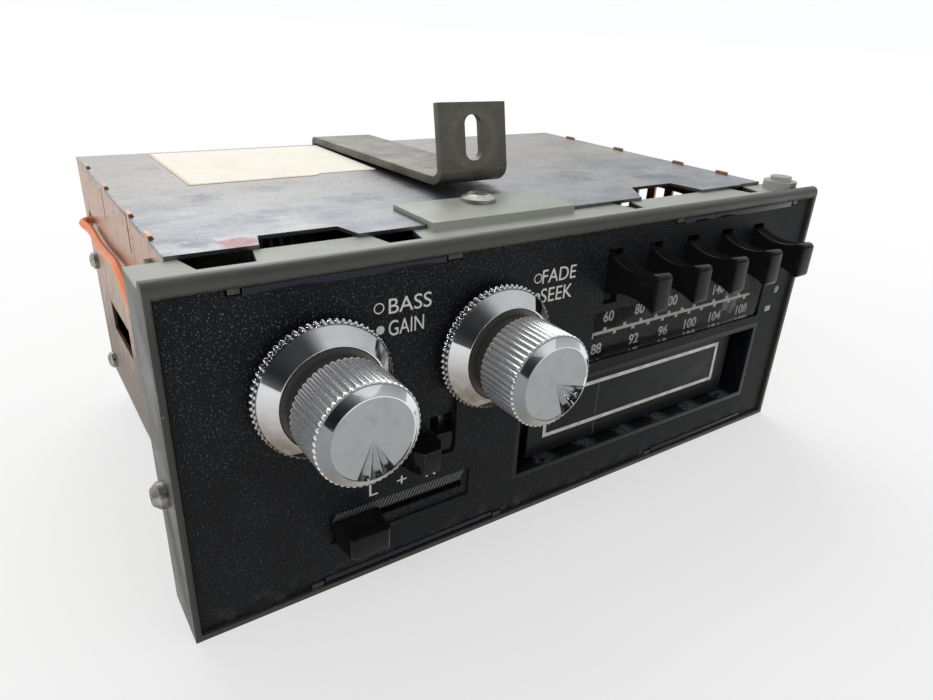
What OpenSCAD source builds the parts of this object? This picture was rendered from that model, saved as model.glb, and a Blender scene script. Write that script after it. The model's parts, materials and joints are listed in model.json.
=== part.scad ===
// In-dash car radio with a slot for endless-loop tape cartridges.
// Millimetres. X runs to the right, Y runs back from the face, Z runs up.
// The origin is the middle of the front frame's foot, in the plane of the face panel's front.

/* [Front frame] */
// Width of the front frame
face_w = 220; // [216:1:230]
// Height of the front frame, over its top bead
face_h = 90; // [89:0.5:94]
// Wall of the front frame
frame_wall = 1.5; // [1.2:0.1:1.8]
// Depth of the front frame behind the panel's face
frame_depth = 17; // [16:0.5:20]
// How far the frame's lip stands proud of the panel
lip_proud = 1; // [0.5:0.1:1.5]
// Height of the rolled bead above the frame's shelf
bead_rise = 2; // [1.6:0.1:2.4]
// Width of the screw tab that laps over the top cover
tab_w = 47.5; // [40:0.5:52]
// How far the screw tab reaches back over the top cover
tab_reach = 16.7; // [14:0.1:20]

/* [Body] */
// Width of the sheet-metal body
body_w = 204; // [202:1:208]
// Depth of the body behind the front frame
body_depth = 120; // [118:1:130]
// Height of the body's underside above the frame's foot
chin_h = 12; // [11:0.5:12.5]
// Thickness of the body's sheet metal
sheet_t = 1; // [0.8:0.1:1.2]

/* [Face panel] */
// Thickness of the moulded face panel
panel_t = 2.5; // [2:0.1:3]
// Gap between the panel and the frame
panel_gap = 0.25; // [0.1:0.05:0.4]
// Width of the dial window
dial_w = 83; // [76:1:85]
// Height of the dial window
dial_h = 16.2; // [13:0.2:17]
// Height of the dial window's sill above the frame's foot
dial_sill = 45; // [45:0.2:46]
// Distance of the dial window's middle from the centre line
dial_x = 51; // [50:0.5:52]

/* [Knobs] */
// Distance of the volume knob from the centre line
volume_x = -75.8; // [-77:0.2:-73]
// Distance of the tuning knob from the centre line
tuning_x = -27.9; // [-29:0.1:-27]
// Height of both knob axes
knob_z = 60; // [59:0.5:61]
// Radius of the fluted knobs
knob_r = 12.1; // [10.5:0.1:12.5]
// Length of the fluted knobs
knob_len = 14.6; // [12:0.2:18]
// Number of flutes round a knob
flutes = 50; // [36:2:60]
// Outer radius of the knurled rings
ring_r = 17.3; // [15.5:0.1:18]
// Number of teeth in each row of a ring's knurl
knurls = 64; // [40:4:80]
// Radius of the inner control shafts
shaft_r = 2.95; // [2.5:0.05:3.1]
// Radius of the hollow outer control shafts
sleeve_r = 4; // [3.8:0.05:4.2]
// Radius of the threaded bushings
bushing_r = 5.5; // [5.2:0.1:5.8]

/* [Push buttons] */
// Distance between neighbouring push buttons
button_pitch = 16.6; // [14:0.2:17.4]
// Height of the middle of the buttons
button_z = 73; // [73:0.2:74.4]
// Thickness of a button blade
blade_t = 5.4; // [4:0.1:6]
// Reach of a button blade in front of the panel
blade_reach = 19; // [15:0.5:22]
// How far a button is pushed in
button_travel = 8; // [5:0.5:9]

/* [Tape slot] */
// Width of the tape slot
slot_w = 107.5; // [106.5:0.5:109]
// Height of the tape slot
slot_h = 26.5; // [25.5:0.1:26.8]
// Distance of the tape slot's middle from the centre line
slot_x = 38.75; // [38:0.25:40]
// Wall of the slot's bezel
bezel_wall = 1.8; // [1.2:0.1:2]
// Width of the door
door_w = 93.5; // [88:0.5:96]
// Thickness of the door
door_t = 1.2; // [0.8:0.1:1.6]
// Set-back of the door behind the face
door_set = 4.3; // [4:0.1:6]
// Radius of the door's hinge pin
hinge_r = 1; // [0.8:0.05:1.1]
// Width of the cartridge that the guide takes
cartridge_w = 101.6; // [100:0.1:102]

/* [Tape drive] */
// Radius of the flywheel
flywheel_r = 27; // [24:0.5:28]
// Thickness of the flywheel
flywheel_t = 8; // [6:0.5:9]
// Radius of the capstan shaft
capstan_r = 2.5; // [2:0.1:3]
// Radius of the motor's can
motor_r = 16; // [13:0.5:17]
// Belt radius of the motor pulley
pulley_r = 5; // [4:0.1:6]
// Thickness of the drive belt
belt_t = 1.2; // [0.8:0.1:1.6]
// Lift of the tape head over all programs
head_lift = 3.6; // [2.4:0.1:4.2]

/* [Tuner] */
// Number of teeth on the tuning pinion
pinion_teeth = 14; // [12:1:15]
// Tooth module of the tuning pinion and its rack
tooth_module = 1; // [0.9:0.05:1.05]
// Travel of the dial pointer to the left
pointer_travel = 66; // [60:1:66]
// Travel of the tuning cores
core_travel = 20; // [16:0.5:22]
// Outer radius of the tuning coils
coil_r = 4; // [3.4:0.1:4.4]
// Radius of the tuning cores
core_r = 2.4; // [2:0.1:2.6]

/* [Slider controls] */
// Width of the balance slider's grip
grip_w = 11; // [9:0.5:12]
// Travel of the balance slider
balance_travel = 28; // [22:1:29]
// Travel of the band slider
band_travel = 5; // [3.5:0.5:5.5]

/* [Support strap] */
// Width of the support strap
strap_w = 24; // [18:1:28]
// Thickness of the support strap
strap_t = 2.5; // [2:0.1:3]
// Height of the strap's upright end above the body
strap_rise = 26.6; // [22:0.2:32]
// Width of the slot in the upright end
strap_slot_w = 6; // [5:0.2:7]
// Length of the slot in the upright end
strap_slot_len = 13; // [10:0.5:14]

/* [Hidden] */
$fn = 64;

// Gaps: a running fit, a held fit, and a piece that rests beside a curved neighbour
run_gap = 0.05;
held_gap = 0.02;
rest_gap = 0.3;

// Places across the face draw together where the frame or the body leaves less room
full_w = 204;
side_room = 8;
squeeze = min(face_w - 2 * side_room, body_w) / full_w;
volume_at = volume_x * squeeze;
tuning_at = tuning_x * squeeze;
slot_at = slot_x * squeeze;
dial_at = dial_x * squeeze;
dial_ends = [dial_at - dial_w / 2, dial_at + dial_w / 2];
dial_z = [dial_sill, dial_sill + dial_h];

// Front frame and body
shelf_z = face_h - bead_rise;
body_back = frame_depth + body_depth;
flange_t = 1.5;
inner_x = face_w / 2 - frame_wall;
inner_z = [frame_wall, shelf_z - frame_wall];
panel_x = inner_x - panel_gap;
panel_z = [inner_z[0] + panel_gap, inner_z[1] - panel_gap];
lip_w = 3;
lip_t = 1.5;
wall_x = body_w / 2;
wall_in = wall_x - sheet_t;
cover_z = [shelf_z, shelf_z + sheet_t];
floor_z = [chin_h - sheet_t, chin_h];
finger_y = [33, 54, 87, 118];
finger_w = 5;
rim_hole = [50.5, 70, 3.4];
wall_slits = [55.5, 91.5];
left_vent = [[84, 113], [36, 46]];
right_vent = [40, [60, 78]];
cover_step = 7;
cover_scoop = 11;
ear_len = 16;
ear_t = 1.2;
ear_spans = [[14, 48], [62, 84]];
rear_mouth = min(wall_x - 3, inner_x - 4);
bead_y = bead_rise - lip_proud;

// Panel edge: light strips, and the notches that the frame's hooks reach into
top_strips = squeeze * [[-91.5, -42.8], [42.2, 96.8]];
foot_strips = squeeze * [[-77, -23.5], [45.8, 96]];
top_notches = squeeze * [[-94.8, -91.5], [-42.8, -38.1], [38.1, 42.2], [96.8, 100]];
foot_notches = squeeze * [[-81, -77], [-23.5, -20], [42, 45.8]];
shelf_notches = squeeze * [[-99.5, -83], [-55, -42], [28, 36], [84, 93]];
strip_h = 1.9;
strip_t = 1.8;
strip_proud = 0.4;
hook_gap = 0.4;

// Screws
screw_r = 1.5;
screw_clear = 0.1;
frame_screw = [9, 37];
lug_size = [4.6, 10.5, 8];
side_screw_y = body_back - 5;
side_screw_z = [chin_h + 4, 54.5];
tab_screw = [-14.2, frame_depth + 11.2];
tab_x = [-14.8 - tab_w / 2, -14.8 + tab_w / 2];
tab_z = [cover_z[1], cover_z[1] + 1.2];

// Control stack: bushing, nut, pots and shafts
nut_t = 1.9;
nut_r = 9;
bushing_back = frame_depth - 1;
shoulder_r = 8;
pot_len = 16;
pot_r = 12;
fader_pot_r = 11;
pot_back = bushing_back + pot_len;
shaft_front = -22;
ring_back = -2.2;
knurl_w = 1.1;
knurl_groove = 0.2;
ring_face = ring_back - 2 * knurl_w - knurl_groove;
ring_front = ring_face - 3.7;
ring_lip_r = ring_r - 4.7;
ring_dish = 0.4;
sleeve_front = ring_front;
collar_r = min(knob_r - 1.1, ring_lip_r - 1);
collar_back = ring_front - 0.1;
knob_back = -11.9;
knob_front = knob_back - knob_len;
knob_bevel = 1.7;
disc_r = knob_r - 2.75;
disc_t = 1.6;
volume_angle = 176;
tuning_angle = 134;

// Slider controls
balance_x = -67.9 * squeeze;
balance_z = 17.75;
grip_h = 6;
grip_reach = 10;
channel = [[balance_x - 7.1, balance_x + 35.4], [13.5, 22.4]];
balance_slot = [balance_x - 3.1, balance_x + 33.3];
balance_stem = [5, 1.6];
channel_depth = 0.6;
pot_slab = [5, 13];
pad_x = -41.85 * squeeze;
pad = [[pad_x - 4.15, pad_x + 4.15], [29.6, 51]];
pad_corner = 2;
pad_depth = 1.7;
band_plate = [[pad[0][0] + 0.3, pad[0][1] - 0.3], [0.7, 2.1], [30.2, 36]];
band_hole_z = [band_plate[2][0] - 0.3, band_plate[2][1] + band_travel + 0.4];
band_head_z = [32.5, 38.8];
band_head = [
    for (p = [[-10.5, -0.4], [0.4, -0.4], [-0.2, -6], [-2.1, -8.9], [-7, -9.3], [-8.6, -7]])
        [pad[0][0] + p[0], p[1]]
];
band_stem = [pad[0][0] + 2.5, pad[0][0] + 5.5];

// Push buttons
buttons = 5;
first_button = dial_ends[0] + 5.2;
button_slot = [5.5, 16.5];
button_slot_drop = 9.4;
blade_root = -0.8;
blade_back = 2;
slide_z = [button_z - 1, button_z + 5];
slide_t = 1.6;

// Tape slot, bezel, door and guide
slot_z = [chin_h + 1.7, chin_h + 1.7 + slot_h];
slot_ends = [slot_at - slot_w / 2, slot_at + slot_w / 2];
bezel_flange = [2, 1.5];
bezel_back = frame_depth - flange_t - 0.3;
hinge_y = door_set + hinge_r + 0.6;
knuckle_r = hinge_r + 0.6;
hinge_z = slot_z[1] - knuckle_r - 0.7;
door_x = [slot_at - door_w / 2, slot_at + door_w / 2];
knuckle_w = 8;
guide_x = [slot_at - cartridge_w / 2 - 0.7, slot_at + cartridge_w / 2 + 0.7];
guide_back = frame_depth + 92;
deck_z = [slot_z[1] + 2.8, slot_z[1] + 4];
deck_left = slot_ends[0] - 5;

// Dial
lens_gap = 0.2;
lens_flange = [1.8, 1];
tray_y = [9.5, 10.5];
tray_x = [dial_ends[0] - lens_flange[0], dial_ends[1] + lens_flange[0]];
tray_z = [dial_z[0] - 1, dial_z[1] + 2];
pointer_rest = dial_ends[1] - 9.5;
pointer_y = 4.6;
lamp_r = 1.5;
mark_room = inner_x - lip_w - tray_x[1];
jewel = [tray_x[1] + 0.643 * mark_room, 53.4];
jewel_r = min(1.5, 0.134 * mark_room);
band_marks = [[tray_x[1] + 0.312 * mark_room, 60.3], [tray_x[1] + 0.384 * mark_room, 46.5]];
mark_size = [min(3.6, 0.32 * mark_room), 2.2];
mark_flange = 0.5;

// Tuner: pinion, rack, cam plate and cores
pitch_r = pinion_teeth * tooth_module / 2;
addendum = 0.8 * tooth_module;
dedendum = 1.0 * tooth_module;
tooth_pitch = PI * tooth_module;
backlash = 0.12 * tooth_module;
flank = 20;
rack_pitch_z = knob_z + pitch_r;
cam_z = [rack_pitch_z + dedendum, rack_pitch_z + dedendum + 2];
gear_y = [pot_back + 2, pot_back + 7.5];
pointer_over = 3.7;
rail_y = gear_y[0] + 2.75;
rail_z = cam_z[1] + 3.2;
rail_r = 1.5;
cam_slope = core_travel / pointer_travel;
cam_pin = [dial_ends[0] + 4.5, gear_y[1] + 2.5];
cam_pin_r = 1.5;
cam_span = [cam_pin[0] - 9, cam_pin[0] + pointer_travel + 8];
rail_lug_x = [[cam_pin[0] + 6, cam_pin[0] + 12], [cam_pin[0] + 58, cam_pin[0] + 64]];
cam_back = cam_pin[1] + core_travel + 4;
base_z = [knob_z - shaft_r - 1.45, knob_z - shaft_r - 0.25];
base_back = cam_pin[1] + core_travel + 27;
base_x = [cam_span[0] - pointer_travel - 3.2, wall_in - 2.8];
core_z = knob_z + 3;
core_x = [cam_pin[0] + 16, cam_pin[0] + 36, cam_pin[0] + 56];
coil_y = [cam_pin[1] + 2 + core_travel + 2.5, base_back - 1];
bar_z = [base_z[1] + 0.2, core_z + 3];
slide_back = gear_y[0] - button_travel - 0.8;
comb_y = [slide_back - 3.2, slide_back - 2];
arm_x = [pointer_rest - 4, pointer_rest + 4];
arm_z = [tray_z[1] + rest_gap, tray_z[1] + rest_gap + 1.6];
arm_riser = [blade_back + button_travel + 0.9, blade_back + button_travel + 2.5];
button_frame = [[cam_span[0], base_x[1]], [arm_riser[1] + 0.5, arm_riser[1] + 1.7], base_z[0],
                slide_z[1] + 6.5];

// Tape drive
flywheel_at = [slot_at + 21.25, frame_depth + 83];
flywheel_z = [cam_z[1] + 2, cam_z[1] + 2 + flywheel_t];
groove_z = [flywheel_z[0] + flywheel_t / 2 - 1.4, flywheel_z[0] + flywheel_t / 2 + 1.4];
belt_r = flywheel_r - 1;
motor_at = [slot_at - 38.75, frame_depth + 89];
motor_z = [deck_z[1], flywheel_z[0] - 4];
capstan_z = [slot_z[0] + 1.5, flywheel_z[1] + 2];
bearing_r = 7;
head_x = slot_at - 10.75;
head_y = [flywheel_at[1] - 5, flywheel_at[1] + 3];
carriage_z = [slot_z[0] + 3, slot_z[0] + 21.5];
post_r = 1.5;
post_x = [head_x - 7, head_x + 7];
post_y = (head_y[0] + head_y[1]) / 2;
cam_low = 6;
cam_turn = 300;
cam_centre = [head_x, deck_z[1] + cam_low + head_lift + 0.5];
wheel_y = [head_y[0] + 1, head_y[0] + 4.5];
ratchet_r = cam_low - 0.2;
arbor_r = 1.5;
solenoid_at = [head_x + 11, head_y[1] + 11, cam_centre[1]];
solenoid_r = 7;
solenoid_len = 18;
plunger_r = 2;
plunger_head = [4, 1.5];
plunger_tip = head_x - 6;
pawl_pivot = [head_x - 7.5, head_y[1] + 3];
pawl_pin_r = 1.5;
pawl_z = [solenoid_at[2] - 1.2, solenoid_at[2] + 1.2];

// Electronics
board = [[-wall_in + 4, slot_ends[0] - 9], [frame_depth + 21, body_back - 19],
         [chin_h + 14, chin_h + 15.6]];
board_posts = [for (x = [board[0][0] + 5, board[0][1] - 6], y = [board[1][0] + 6, board[1][1] - 6])
    [x, y]];
sink_x = [-wall_in + 7, slot_ends[0] - 19];
sink_z = [chin_h + 6, chin_h + 66];
sink_base_t = 2;
fin_len = 12;
antenna_at = [72 * squeeze, 58];
antenna_r = 4.1;
power_at = [14 * squeeze, 32];
rear_slots = [34 * squeeze, 20, 44];

// Support strap: its side view from the rear foot to the upright end
strap_x = -5.3;
strap_foot_z = 66;
strap_path = [
    [body_back + strap_t / 2, strap_foot_z],
    [body_back + strap_t / 2, cover_z[1] + strap_t / 2 + 0.35],
    [47, cover_z[1] + strap_t / 2 + 2],
    [44, cover_z[1] + strap_t / 2 + 4.4],
    [47.6, shelf_z + strap_rise]
];
strap_radii = [0, strap_t / 2 + 0.05, 4.5, 2.9, 0];
strap_bolt = [10, 3];
strap_slot_z = shelf_z + strap_rise - 3.3 - strap_slot_len / 2;

// Lead along the left side: hand-picked points from the board to the volume control
wire_r = 1.3;
wire_x = -wall_x - wire_r - 0.5;
lead_hole = [body_back - 10, 70];
entry_hole = [25, 55];
lead_hole_r = 3;
wire_route = [
    [-wall_in + 6, lead_hole[0] - 17, board[2][1] + 0.3], [-wall_in + 6, lead_hole[0] - 15, 44],
    [-wall_in + 5, lead_hole[0] - 8, 62], [-wall_in + 3, lead_hole[0] - 1.5, 69],
    [-wall_x, lead_hole[0], 70], [wire_x - 1, lead_hole[0] - 3, 70],
    [wire_x, lead_hole[0] - 11, 69.6], [wire_x, 102, 69], [wire_x, 88, 69.6],
    [wire_x, 75, 70.7], [wire_x, 67, 69], [wire_x, 60, 66], [wire_x, 50, 62], [wire_x, 38, 58],
    [wire_x - 0.6, 29, 55.6], [-wall_x, entry_hole[0], entry_hole[1]], [-wall_in + 3, 24, 55.5],
    [volume_at - 18.2, 24, 58], [volume_at - pot_r - 3.1, 24, knob_z]
];

// ---- Shapes used by several parts -------------------------------------------------------

// Box between two corners
module span(x, y, z) {
    translate([x[0], y[0], z[0]]) cube([x[1] - x[0], y[1] - y[0], z[1] - z[0]]);
}

// Round bars along each axis
module rod_x(x, y, z, r) {
    translate([x[0], y, z]) rotate([0, 90, 0]) cylinder(h = x[1] - x[0], r = r);
}

module rod_y(x, y, z, r) {
    translate([x, y[0], z]) rotate([-90, 0, 0]) cylinder(h = y[1] - y[0], r = r);
}

module rod_z(x, y, z, r) {
    translate([x, y, z[0]]) cylinder(h = z[1] - z[0], r = r);
}

// Flat outlines made into plates: drawn in XY, XZ or YZ and spanning the third axis
module plate_xy(z) {
    translate([0, 0, z[0]]) linear_extrude(z[1] - z[0]) children();
}

module plate_xz(y) {
    translate([0, y[1], 0]) rotate([90, 0, 0]) linear_extrude(y[1] - y[0]) children();
}

module plate_yz(x) {
    translate([x[0], 0, 0]) rotate([90, 0, 90]) linear_extrude(x[1] - x[0]) children();
}

// Rectangle with round corners
module rounded(x, y, r) {
    translate([x[0] + r, y[0]]) square([x[1] - x[0] - 2 * r, y[1] - y[0]]);
    translate([x[0], y[0] + r]) square([x[1] - x[0], y[1] - y[0] - 2 * r]);
    for (cx = [x[0] + r, x[1] - r], cy = [y[0] + r, y[1] - r]) translate([cx, cy]) circle(r);
}

function unit(v) = v / norm(v);

// Points of the arc that rounds a corner between two directions
function bend_points(corner, before, after, r, steps) =
    let (turn = atan2(before[0] * after[1] - before[1] * after[0], before * after),
         start = corner - r * tan(abs(turn) / 2) * before,
         arm = sign(turn) * r * [before[1], -before[0]])
    [for (k = [0:steps])
        let (a = turn * k / steps)
        start - arm + [arm[0] * cos(a) - arm[1] * sin(a), arm[0] * sin(a) + arm[1] * cos(a)]];

// Path with its inner corners rounded, each to its own radius
function eased(path, radii, steps = 5) = [
    for (i = [0:len(path) - 1])
        let (inner = i > 0 && i < len(path) - 1,
             points = inner
                 ? bend_points(path[i], unit(path[i] - path[i - 1]), unit(path[i + 1] - path[i]),
                               radii[i], steps)
                 : [path[i]])
        for (point = points) point
];

// Points beside a path at an even distance, with mitred corners
function beside(path, d) = [
    for (i = [0:len(path) - 1])
        let (before = unit(path[max(i, 1)] - path[max(i, 1) - 1]),
             last = len(path) - 2,
             after = unit(path[min(i, last) + 1] - path[min(i, last)]),
             normal = [-before[1] - after[1], before[0] + after[0]])
        path[i] + d * normal / (1 + before * after)
];

// Strip of even thickness along a bent path
module bent_strip(path, radii, t) {
    soft = eased(path, radii);
    left = beside(soft, t / 2);
    right = beside(soft, -t / 2);
    polygon(concat(left, [for (i = [len(right) - 1:-1:0]) right[i]]));
}

// Ring of shallow grooves round a circle, as used on flutes and knurls
module grooved_circle(r, count, depth, share) {
    step = 360 / count;
    polygon([for (i = [0:count - 1], k = [[0, 0], [share, 0], [(1 + share) / 2, depth]])
        (r - k[1]) * [cos((i + k[0]) * step), sin((i + k[0]) * step)]]);
}

// Row of straight slots along Y, as in a vented sheet
module slot_row(x, y, z, count, pitch) {
    for (i = [0:count - 1])
        span([x[0] + i * pitch, x[1] + i * pitch], y, z);
}

// ---- Front ------------------------------------------------------------------------------

// Dark notch in the rear edge of the frame's shelf
module shelf_notch(x) {
    plate_xy([inner_z[1] - 1, shelf_z + 1])
        polygon([[x[0], frame_depth + 1], [x[0] + 2, frame_depth - 8],
                 [x[1] - 2, frame_depth - 8], [x[1], frame_depth + 1]]);
}

module front_frame() {
    color("#80867c") {
        difference() {
            union() {
                span([-face_w / 2, face_w / 2], [-lip_proud, frame_depth], [0, shelf_z]);
                rod_x([-face_w / 2, face_w / 2], bead_y, shelf_z, bead_rise);
                span(tab_x, [frame_depth - 4, frame_depth - 1.2], [shelf_z, tab_z[1]]);
                span(tab_x, [frame_depth - 4, frame_depth + tab_reach], tab_z);
                rod_z(face_w / 2 - 8, 9, [shelf_z, shelf_z + 3], 5.5);
                rod_z(face_w / 2 - 8, 9, [shelf_z, shelf_z + 4.5], 3.5);
            }
            span([-inner_x, inner_x], [-lip_proud - 1, frame_depth - flange_t], inner_z);
            span([-rear_mouth, rear_mouth], [0, frame_depth + 1], [chin_h + 0.3, inner_z[1]]);
            for (x = shelf_notches) shelf_notch(x);
            for (side = [-1, 1])
                rod_x([side * face_w / 2 - 3, side * face_w / 2 + 3], frame_screw[0],
                      frame_screw[1], screw_r + screw_clear);
            rod_z(tab_screw[0], tab_screw[1], [shelf_z, tab_z[1] + 1], screw_r + screw_clear);
        }
        difference() {
            span([-inner_x, inner_x], [panel_t, panel_t + lip_t], inner_z);
            span([-inner_x + lip_w, inner_x - lip_w], [0, panel_t + lip_t + 1],
                 [inner_z[0] + lip_w, inner_z[1] - lip_w]);
            span([-inner_x - 1, inner_x + 1], [0, panel_t + lip_t + 1],
                 [frame_screw[1] - lug_size[2] / 2 - 0.5, frame_screw[1] + lug_size[2] / 2 + 0.5]);
        }
        for (n = top_notches)
            span([n[0] + hook_gap, n[1] - hook_gap], [-0.5, 1], [panel_z[1] - 1.2, inner_z[1]]);
        for (n = foot_notches)
            span([n[0] + hook_gap, n[1] - hook_gap], [-0.5, 1], [inner_z[0], panel_z[0] + 1.2]);
        for (side = [-1, 1]) {
            for (z = ear_spans)
                span([side > 0 ? wall_x : -wall_x - ear_t, side > 0 ? wall_x + ear_t : -wall_x],
                     [frame_depth, frame_depth + ear_len], z);
            span([side > 0 ? rear_mouth : -wall_x - ear_t, side > 0 ? wall_x + ear_t : -rear_mouth],
                 [frame_depth - flange_t, frame_depth], [ear_spans[0][0], ear_spans[1][1]]);
        }
    }
}

// Scooped recess of the band slider: a ramp that runs down into a hole
module band_recess() {
    intersection() {
        plate_xz([-1, panel_t + 1]) rounded(pad[0], pad[1], pad_corner);
        union() {
            plate_yz(pad[0])
                polygon([[-1, pad[1][1]], [0, pad[1][1]], [pad_depth, band_hole_z[1]],
                         [-1, band_hole_z[1]]]);
            span(pad[0], [-1, panel_t + 1], band_hole_z);
        }
    }
}

module face_panel() {
    color("#1b1c1e") difference() {
        union() {
            span([-panel_x, panel_x], [0, panel_t], panel_z);
            for (side = [-1, 1])
                translate([side * (panel_x - lug_size[0] / 2), panel_t + lug_size[1] / 2,
                           frame_screw[1]]) cube(lug_size, center = true);
        }
        for (x = [volume_at, tuning_at])
            rod_y(x, [-1, panel_t + 1], knob_z, bushing_r + screw_clear);
        for (i = [0:buttons - 1])
            translate([first_button + i * button_pitch, 0, button_z])
                span([-button_slot[0] / 2, button_slot[0] / 2], [-1, panel_t + 1],
                     [-button_slot_drop, button_slot[1] - button_slot_drop]);
        span(dial_ends, [-1, panel_t + 1], dial_z);
        span([slot_ends[0] - bezel_wall - 0.1, slot_ends[1] + bezel_wall + 0.1],
             [-1, panel_t + 1], [slot_z[0] - bezel_wall - 0.1, slot_z[1] + bezel_wall + 0.1]);
        span(channel[0], [-1, channel_depth], channel[1]);
        span(balance_slot, [-1, panel_t + 1], [balance_z - 1, balance_z + 1]);
        band_recess();
        rod_y(jewel[0], [-1, panel_t + 1], jewel[1], jewel_r + 0.1);
        for (at = band_marks) mark_block(at, 0.1, [-1, panel_t + 1]);
        for (s = top_strips) span(s, [-1, strip_t - strip_proud], [panel_z[1] - strip_h, face_h]);
        for (s = foot_strips) span(s, [-1, strip_t - strip_proud], [-1, panel_z[0] + strip_h]);
        for (n = top_notches) span(n, [-1, panel_t + 1], [panel_z[1] - 1.6, face_h]);
        for (n = foot_notches) span(n, [-1, panel_t + 1], [-1, panel_z[0] + 1.6]);
        for (side = [-1, 1])
            rod_x([side * panel_x - 6, side * panel_x + 6], frame_screw[0], frame_screw[1],
                  screw_r + screw_clear / 2);
    }
}

module light_strips() {
    color("#26303f") {
        for (s = top_strips)
            span([s[0] + 0.1, s[1] - 0.1], [-strip_proud, strip_t - strip_proud],
                 [panel_z[1] - strip_h, panel_z[1]]);
        for (s = foot_strips)
            span([s[0] + 0.1, s[1] - 0.1], [-strip_proud, strip_t - strip_proud],
                 [panel_z[0], panel_z[0] + strip_h]);
    }
}

// ---- Tape slot --------------------------------------------------------------------------

module slot_bezel() {
    outer_x = [slot_ends[0] - bezel_wall, slot_ends[1] + bezel_wall];
    outer_z = [slot_z[0] - bezel_wall, slot_z[1] + bezel_wall];
    color("#141517") difference() {
        union() {
            span(outer_x, [0, bezel_back], outer_z);
            span([outer_x[0] - bezel_flange[0], outer_x[1] + bezel_flange[0]],
                 [panel_t, panel_t + bezel_flange[1]],
                 [outer_z[0] - bezel_flange[0], outer_z[1]]);
        }
        span(slot_ends, [-1, bezel_back + 1], slot_z);
        rod_x([slot_ends[0] - 1, slot_ends[1] + 1], hinge_y, hinge_z, hinge_r + run_gap);
    }
}

module door_hinge_pin() {
    color("#b9bcbf") rod_x([slot_ends[0] - 0.9, slot_ends[1] + 0.9], hinge_y, hinge_z, hinge_r);
}

module tape_door() {
    color("#1d1e20") difference() {
        union() {
            span(door_x, [door_set, door_set + door_t], [slot_z[0] + 0.9, hinge_z + 0.6]);
            span(door_x, [door_set, door_set + door_t + 1.4], [slot_z[0] + 0.9, slot_z[0] + 1.9]);
            for (x = [door_x[0], door_x[1] - knuckle_w])
                rod_x([x, x + knuckle_w], hinge_y, hinge_z, knuckle_r);
        }
        rod_x([door_x[0] - 1, door_x[1] + 1], hinge_y, hinge_z, hinge_r + run_gap);
    }
}

module cartridge_guide() {
    y = [frame_depth + 0.3, guide_back];
    outer = [guide_x[0] - sheet_t, guide_x[1] + sheet_t];
    color("#a9adae") difference() {
        union() {
            span(outer, y, [chin_h, chin_h + sheet_t]);
            for (x = [[outer[0], guide_x[0]], [guide_x[1], outer[1]]])
                span(x, y, [chin_h, deck_z[0]]);
            span(outer, [guide_back - sheet_t, guide_back], [chin_h, slot_z[0] + 12]);
        }
        slot_row([guide_x[0] + 12, guide_x[0] + 18], [y[0] + 20, y[1] - 22],
                 [chin_h - 1, chin_h + sheet_t + 1], 5, 18);
        span([outer[0] - 1, outer[1] + 1], [y[0] + 30, y[0] + 50], [slot_z[0] + 9, deck_z[0] - 6]);
    }
}

// ---- Dial -------------------------------------------------------------------------------

module dial_lens() {
    color("#39414a", 0.5) {
        span([dial_ends[0] + lens_gap, dial_ends[1] - lens_gap], [0.3, panel_t + lens_flange[1]],
             [dial_z[0] + lens_gap, dial_z[1] - lens_gap]);
        span([dial_ends[0] - lens_flange[0], dial_ends[1] + lens_flange[0]],
             [panel_t, panel_t + lens_flange[1]],
             [dial_z[0] - lens_flange[0], dial_z[1] + lens_flange[0]]);
    }
}

module dial_scale() {
    color("#202224") {
        span(tray_x, tray_y, tray_z);
        for (x = [tray_x[0], tray_x[1] - 1])
            span([x, x + 1], [panel_t + lens_flange[1], tray_y[1]], tray_z);
    }
}

module dial_lamps() {
    color("#e8e4c8")
        for (x = [tray_x[0] + 1.4 + lamp_r, tray_x[1] - 1.4 - lamp_r]) {
            y = tray_y[0] - lamp_r - rest_gap / 2;
            rod_z(x, y, [tray_z[0] + 4, tray_z[0] + 8], lamp_r);
            rod_z(x, y, [tray_z[0] + 8, tray_z[0] + 13], lamp_r * 0.8);
            translate([x, y, tray_z[0] + 13]) sphere(lamp_r * 0.8);
        }
}

module dial_pointer() {
    color("#c9ccd0") {
        span([pointer_rest - 0.5, pointer_rest + 0.5], [pointer_y, pointer_y + 1],
             [dial_z[0] + 1, arm_z[1]]);
        span([pointer_rest - 3.8, pointer_rest + 3.8], [pointer_y + 1, pointer_y + 1.5],
             [dial_z[0] + 2, dial_z[1] - 1]);
        span(arm_x, [pointer_y, arm_riser[1]], arm_z);
        span(arm_x, arm_riser, [arm_z[0], cam_z[1]]);
        span(arm_x, [arm_riser[0], gear_y[0]], cam_z);
    }
}

// Block of a rectangular indicator, grown evenly on its four sides
module mark_block(at, grow, y) {
    half = mark_size / 2 + [grow, grow];
    span([at[0] - half[0], at[0] + half[0]], y, [at[1] - half[1], at[1] + half[1]]);
}

module indicator_lenses() {
    color("#4f8f63") {
        rod_y(jewel[0], [0.2, panel_t], jewel[1], jewel_r);
        rod_y(jewel[0], [panel_t, panel_t + 1], jewel[1], jewel_r + mark_flange);
        for (at = band_marks) {
            mark_block(at, 0, [0.2, panel_t]);
            mark_block(at, mark_flange, [panel_t, panel_t + 1]);
        }
    }
}

// ---- Knobs and rotary controls ----------------------------------------------------------

module control_bushings() {
    color("#9a9c98")
        for (x = [volume_at, tuning_at]) {
            difference() {
                union() {
                    rod_y(x, [-nut_t, bushing_back], knob_z, bushing_r);
                    rod_y(x, [panel_t, bushing_back], knob_z, shoulder_r);
                }
                rod_y(x, [-nut_t - 1, bushing_back + 1], knob_z, sleeve_r + run_gap);
            }
            difference() {
                translate([x, -nut_t, knob_z]) rotate([-90, 0, 0])
                    cylinder(h = nut_t, r = nut_r, $fn = 6);
                rod_y(x, [-nut_t - 1, 1], knob_z, bushing_r + run_gap);
            }
        }
}

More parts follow.
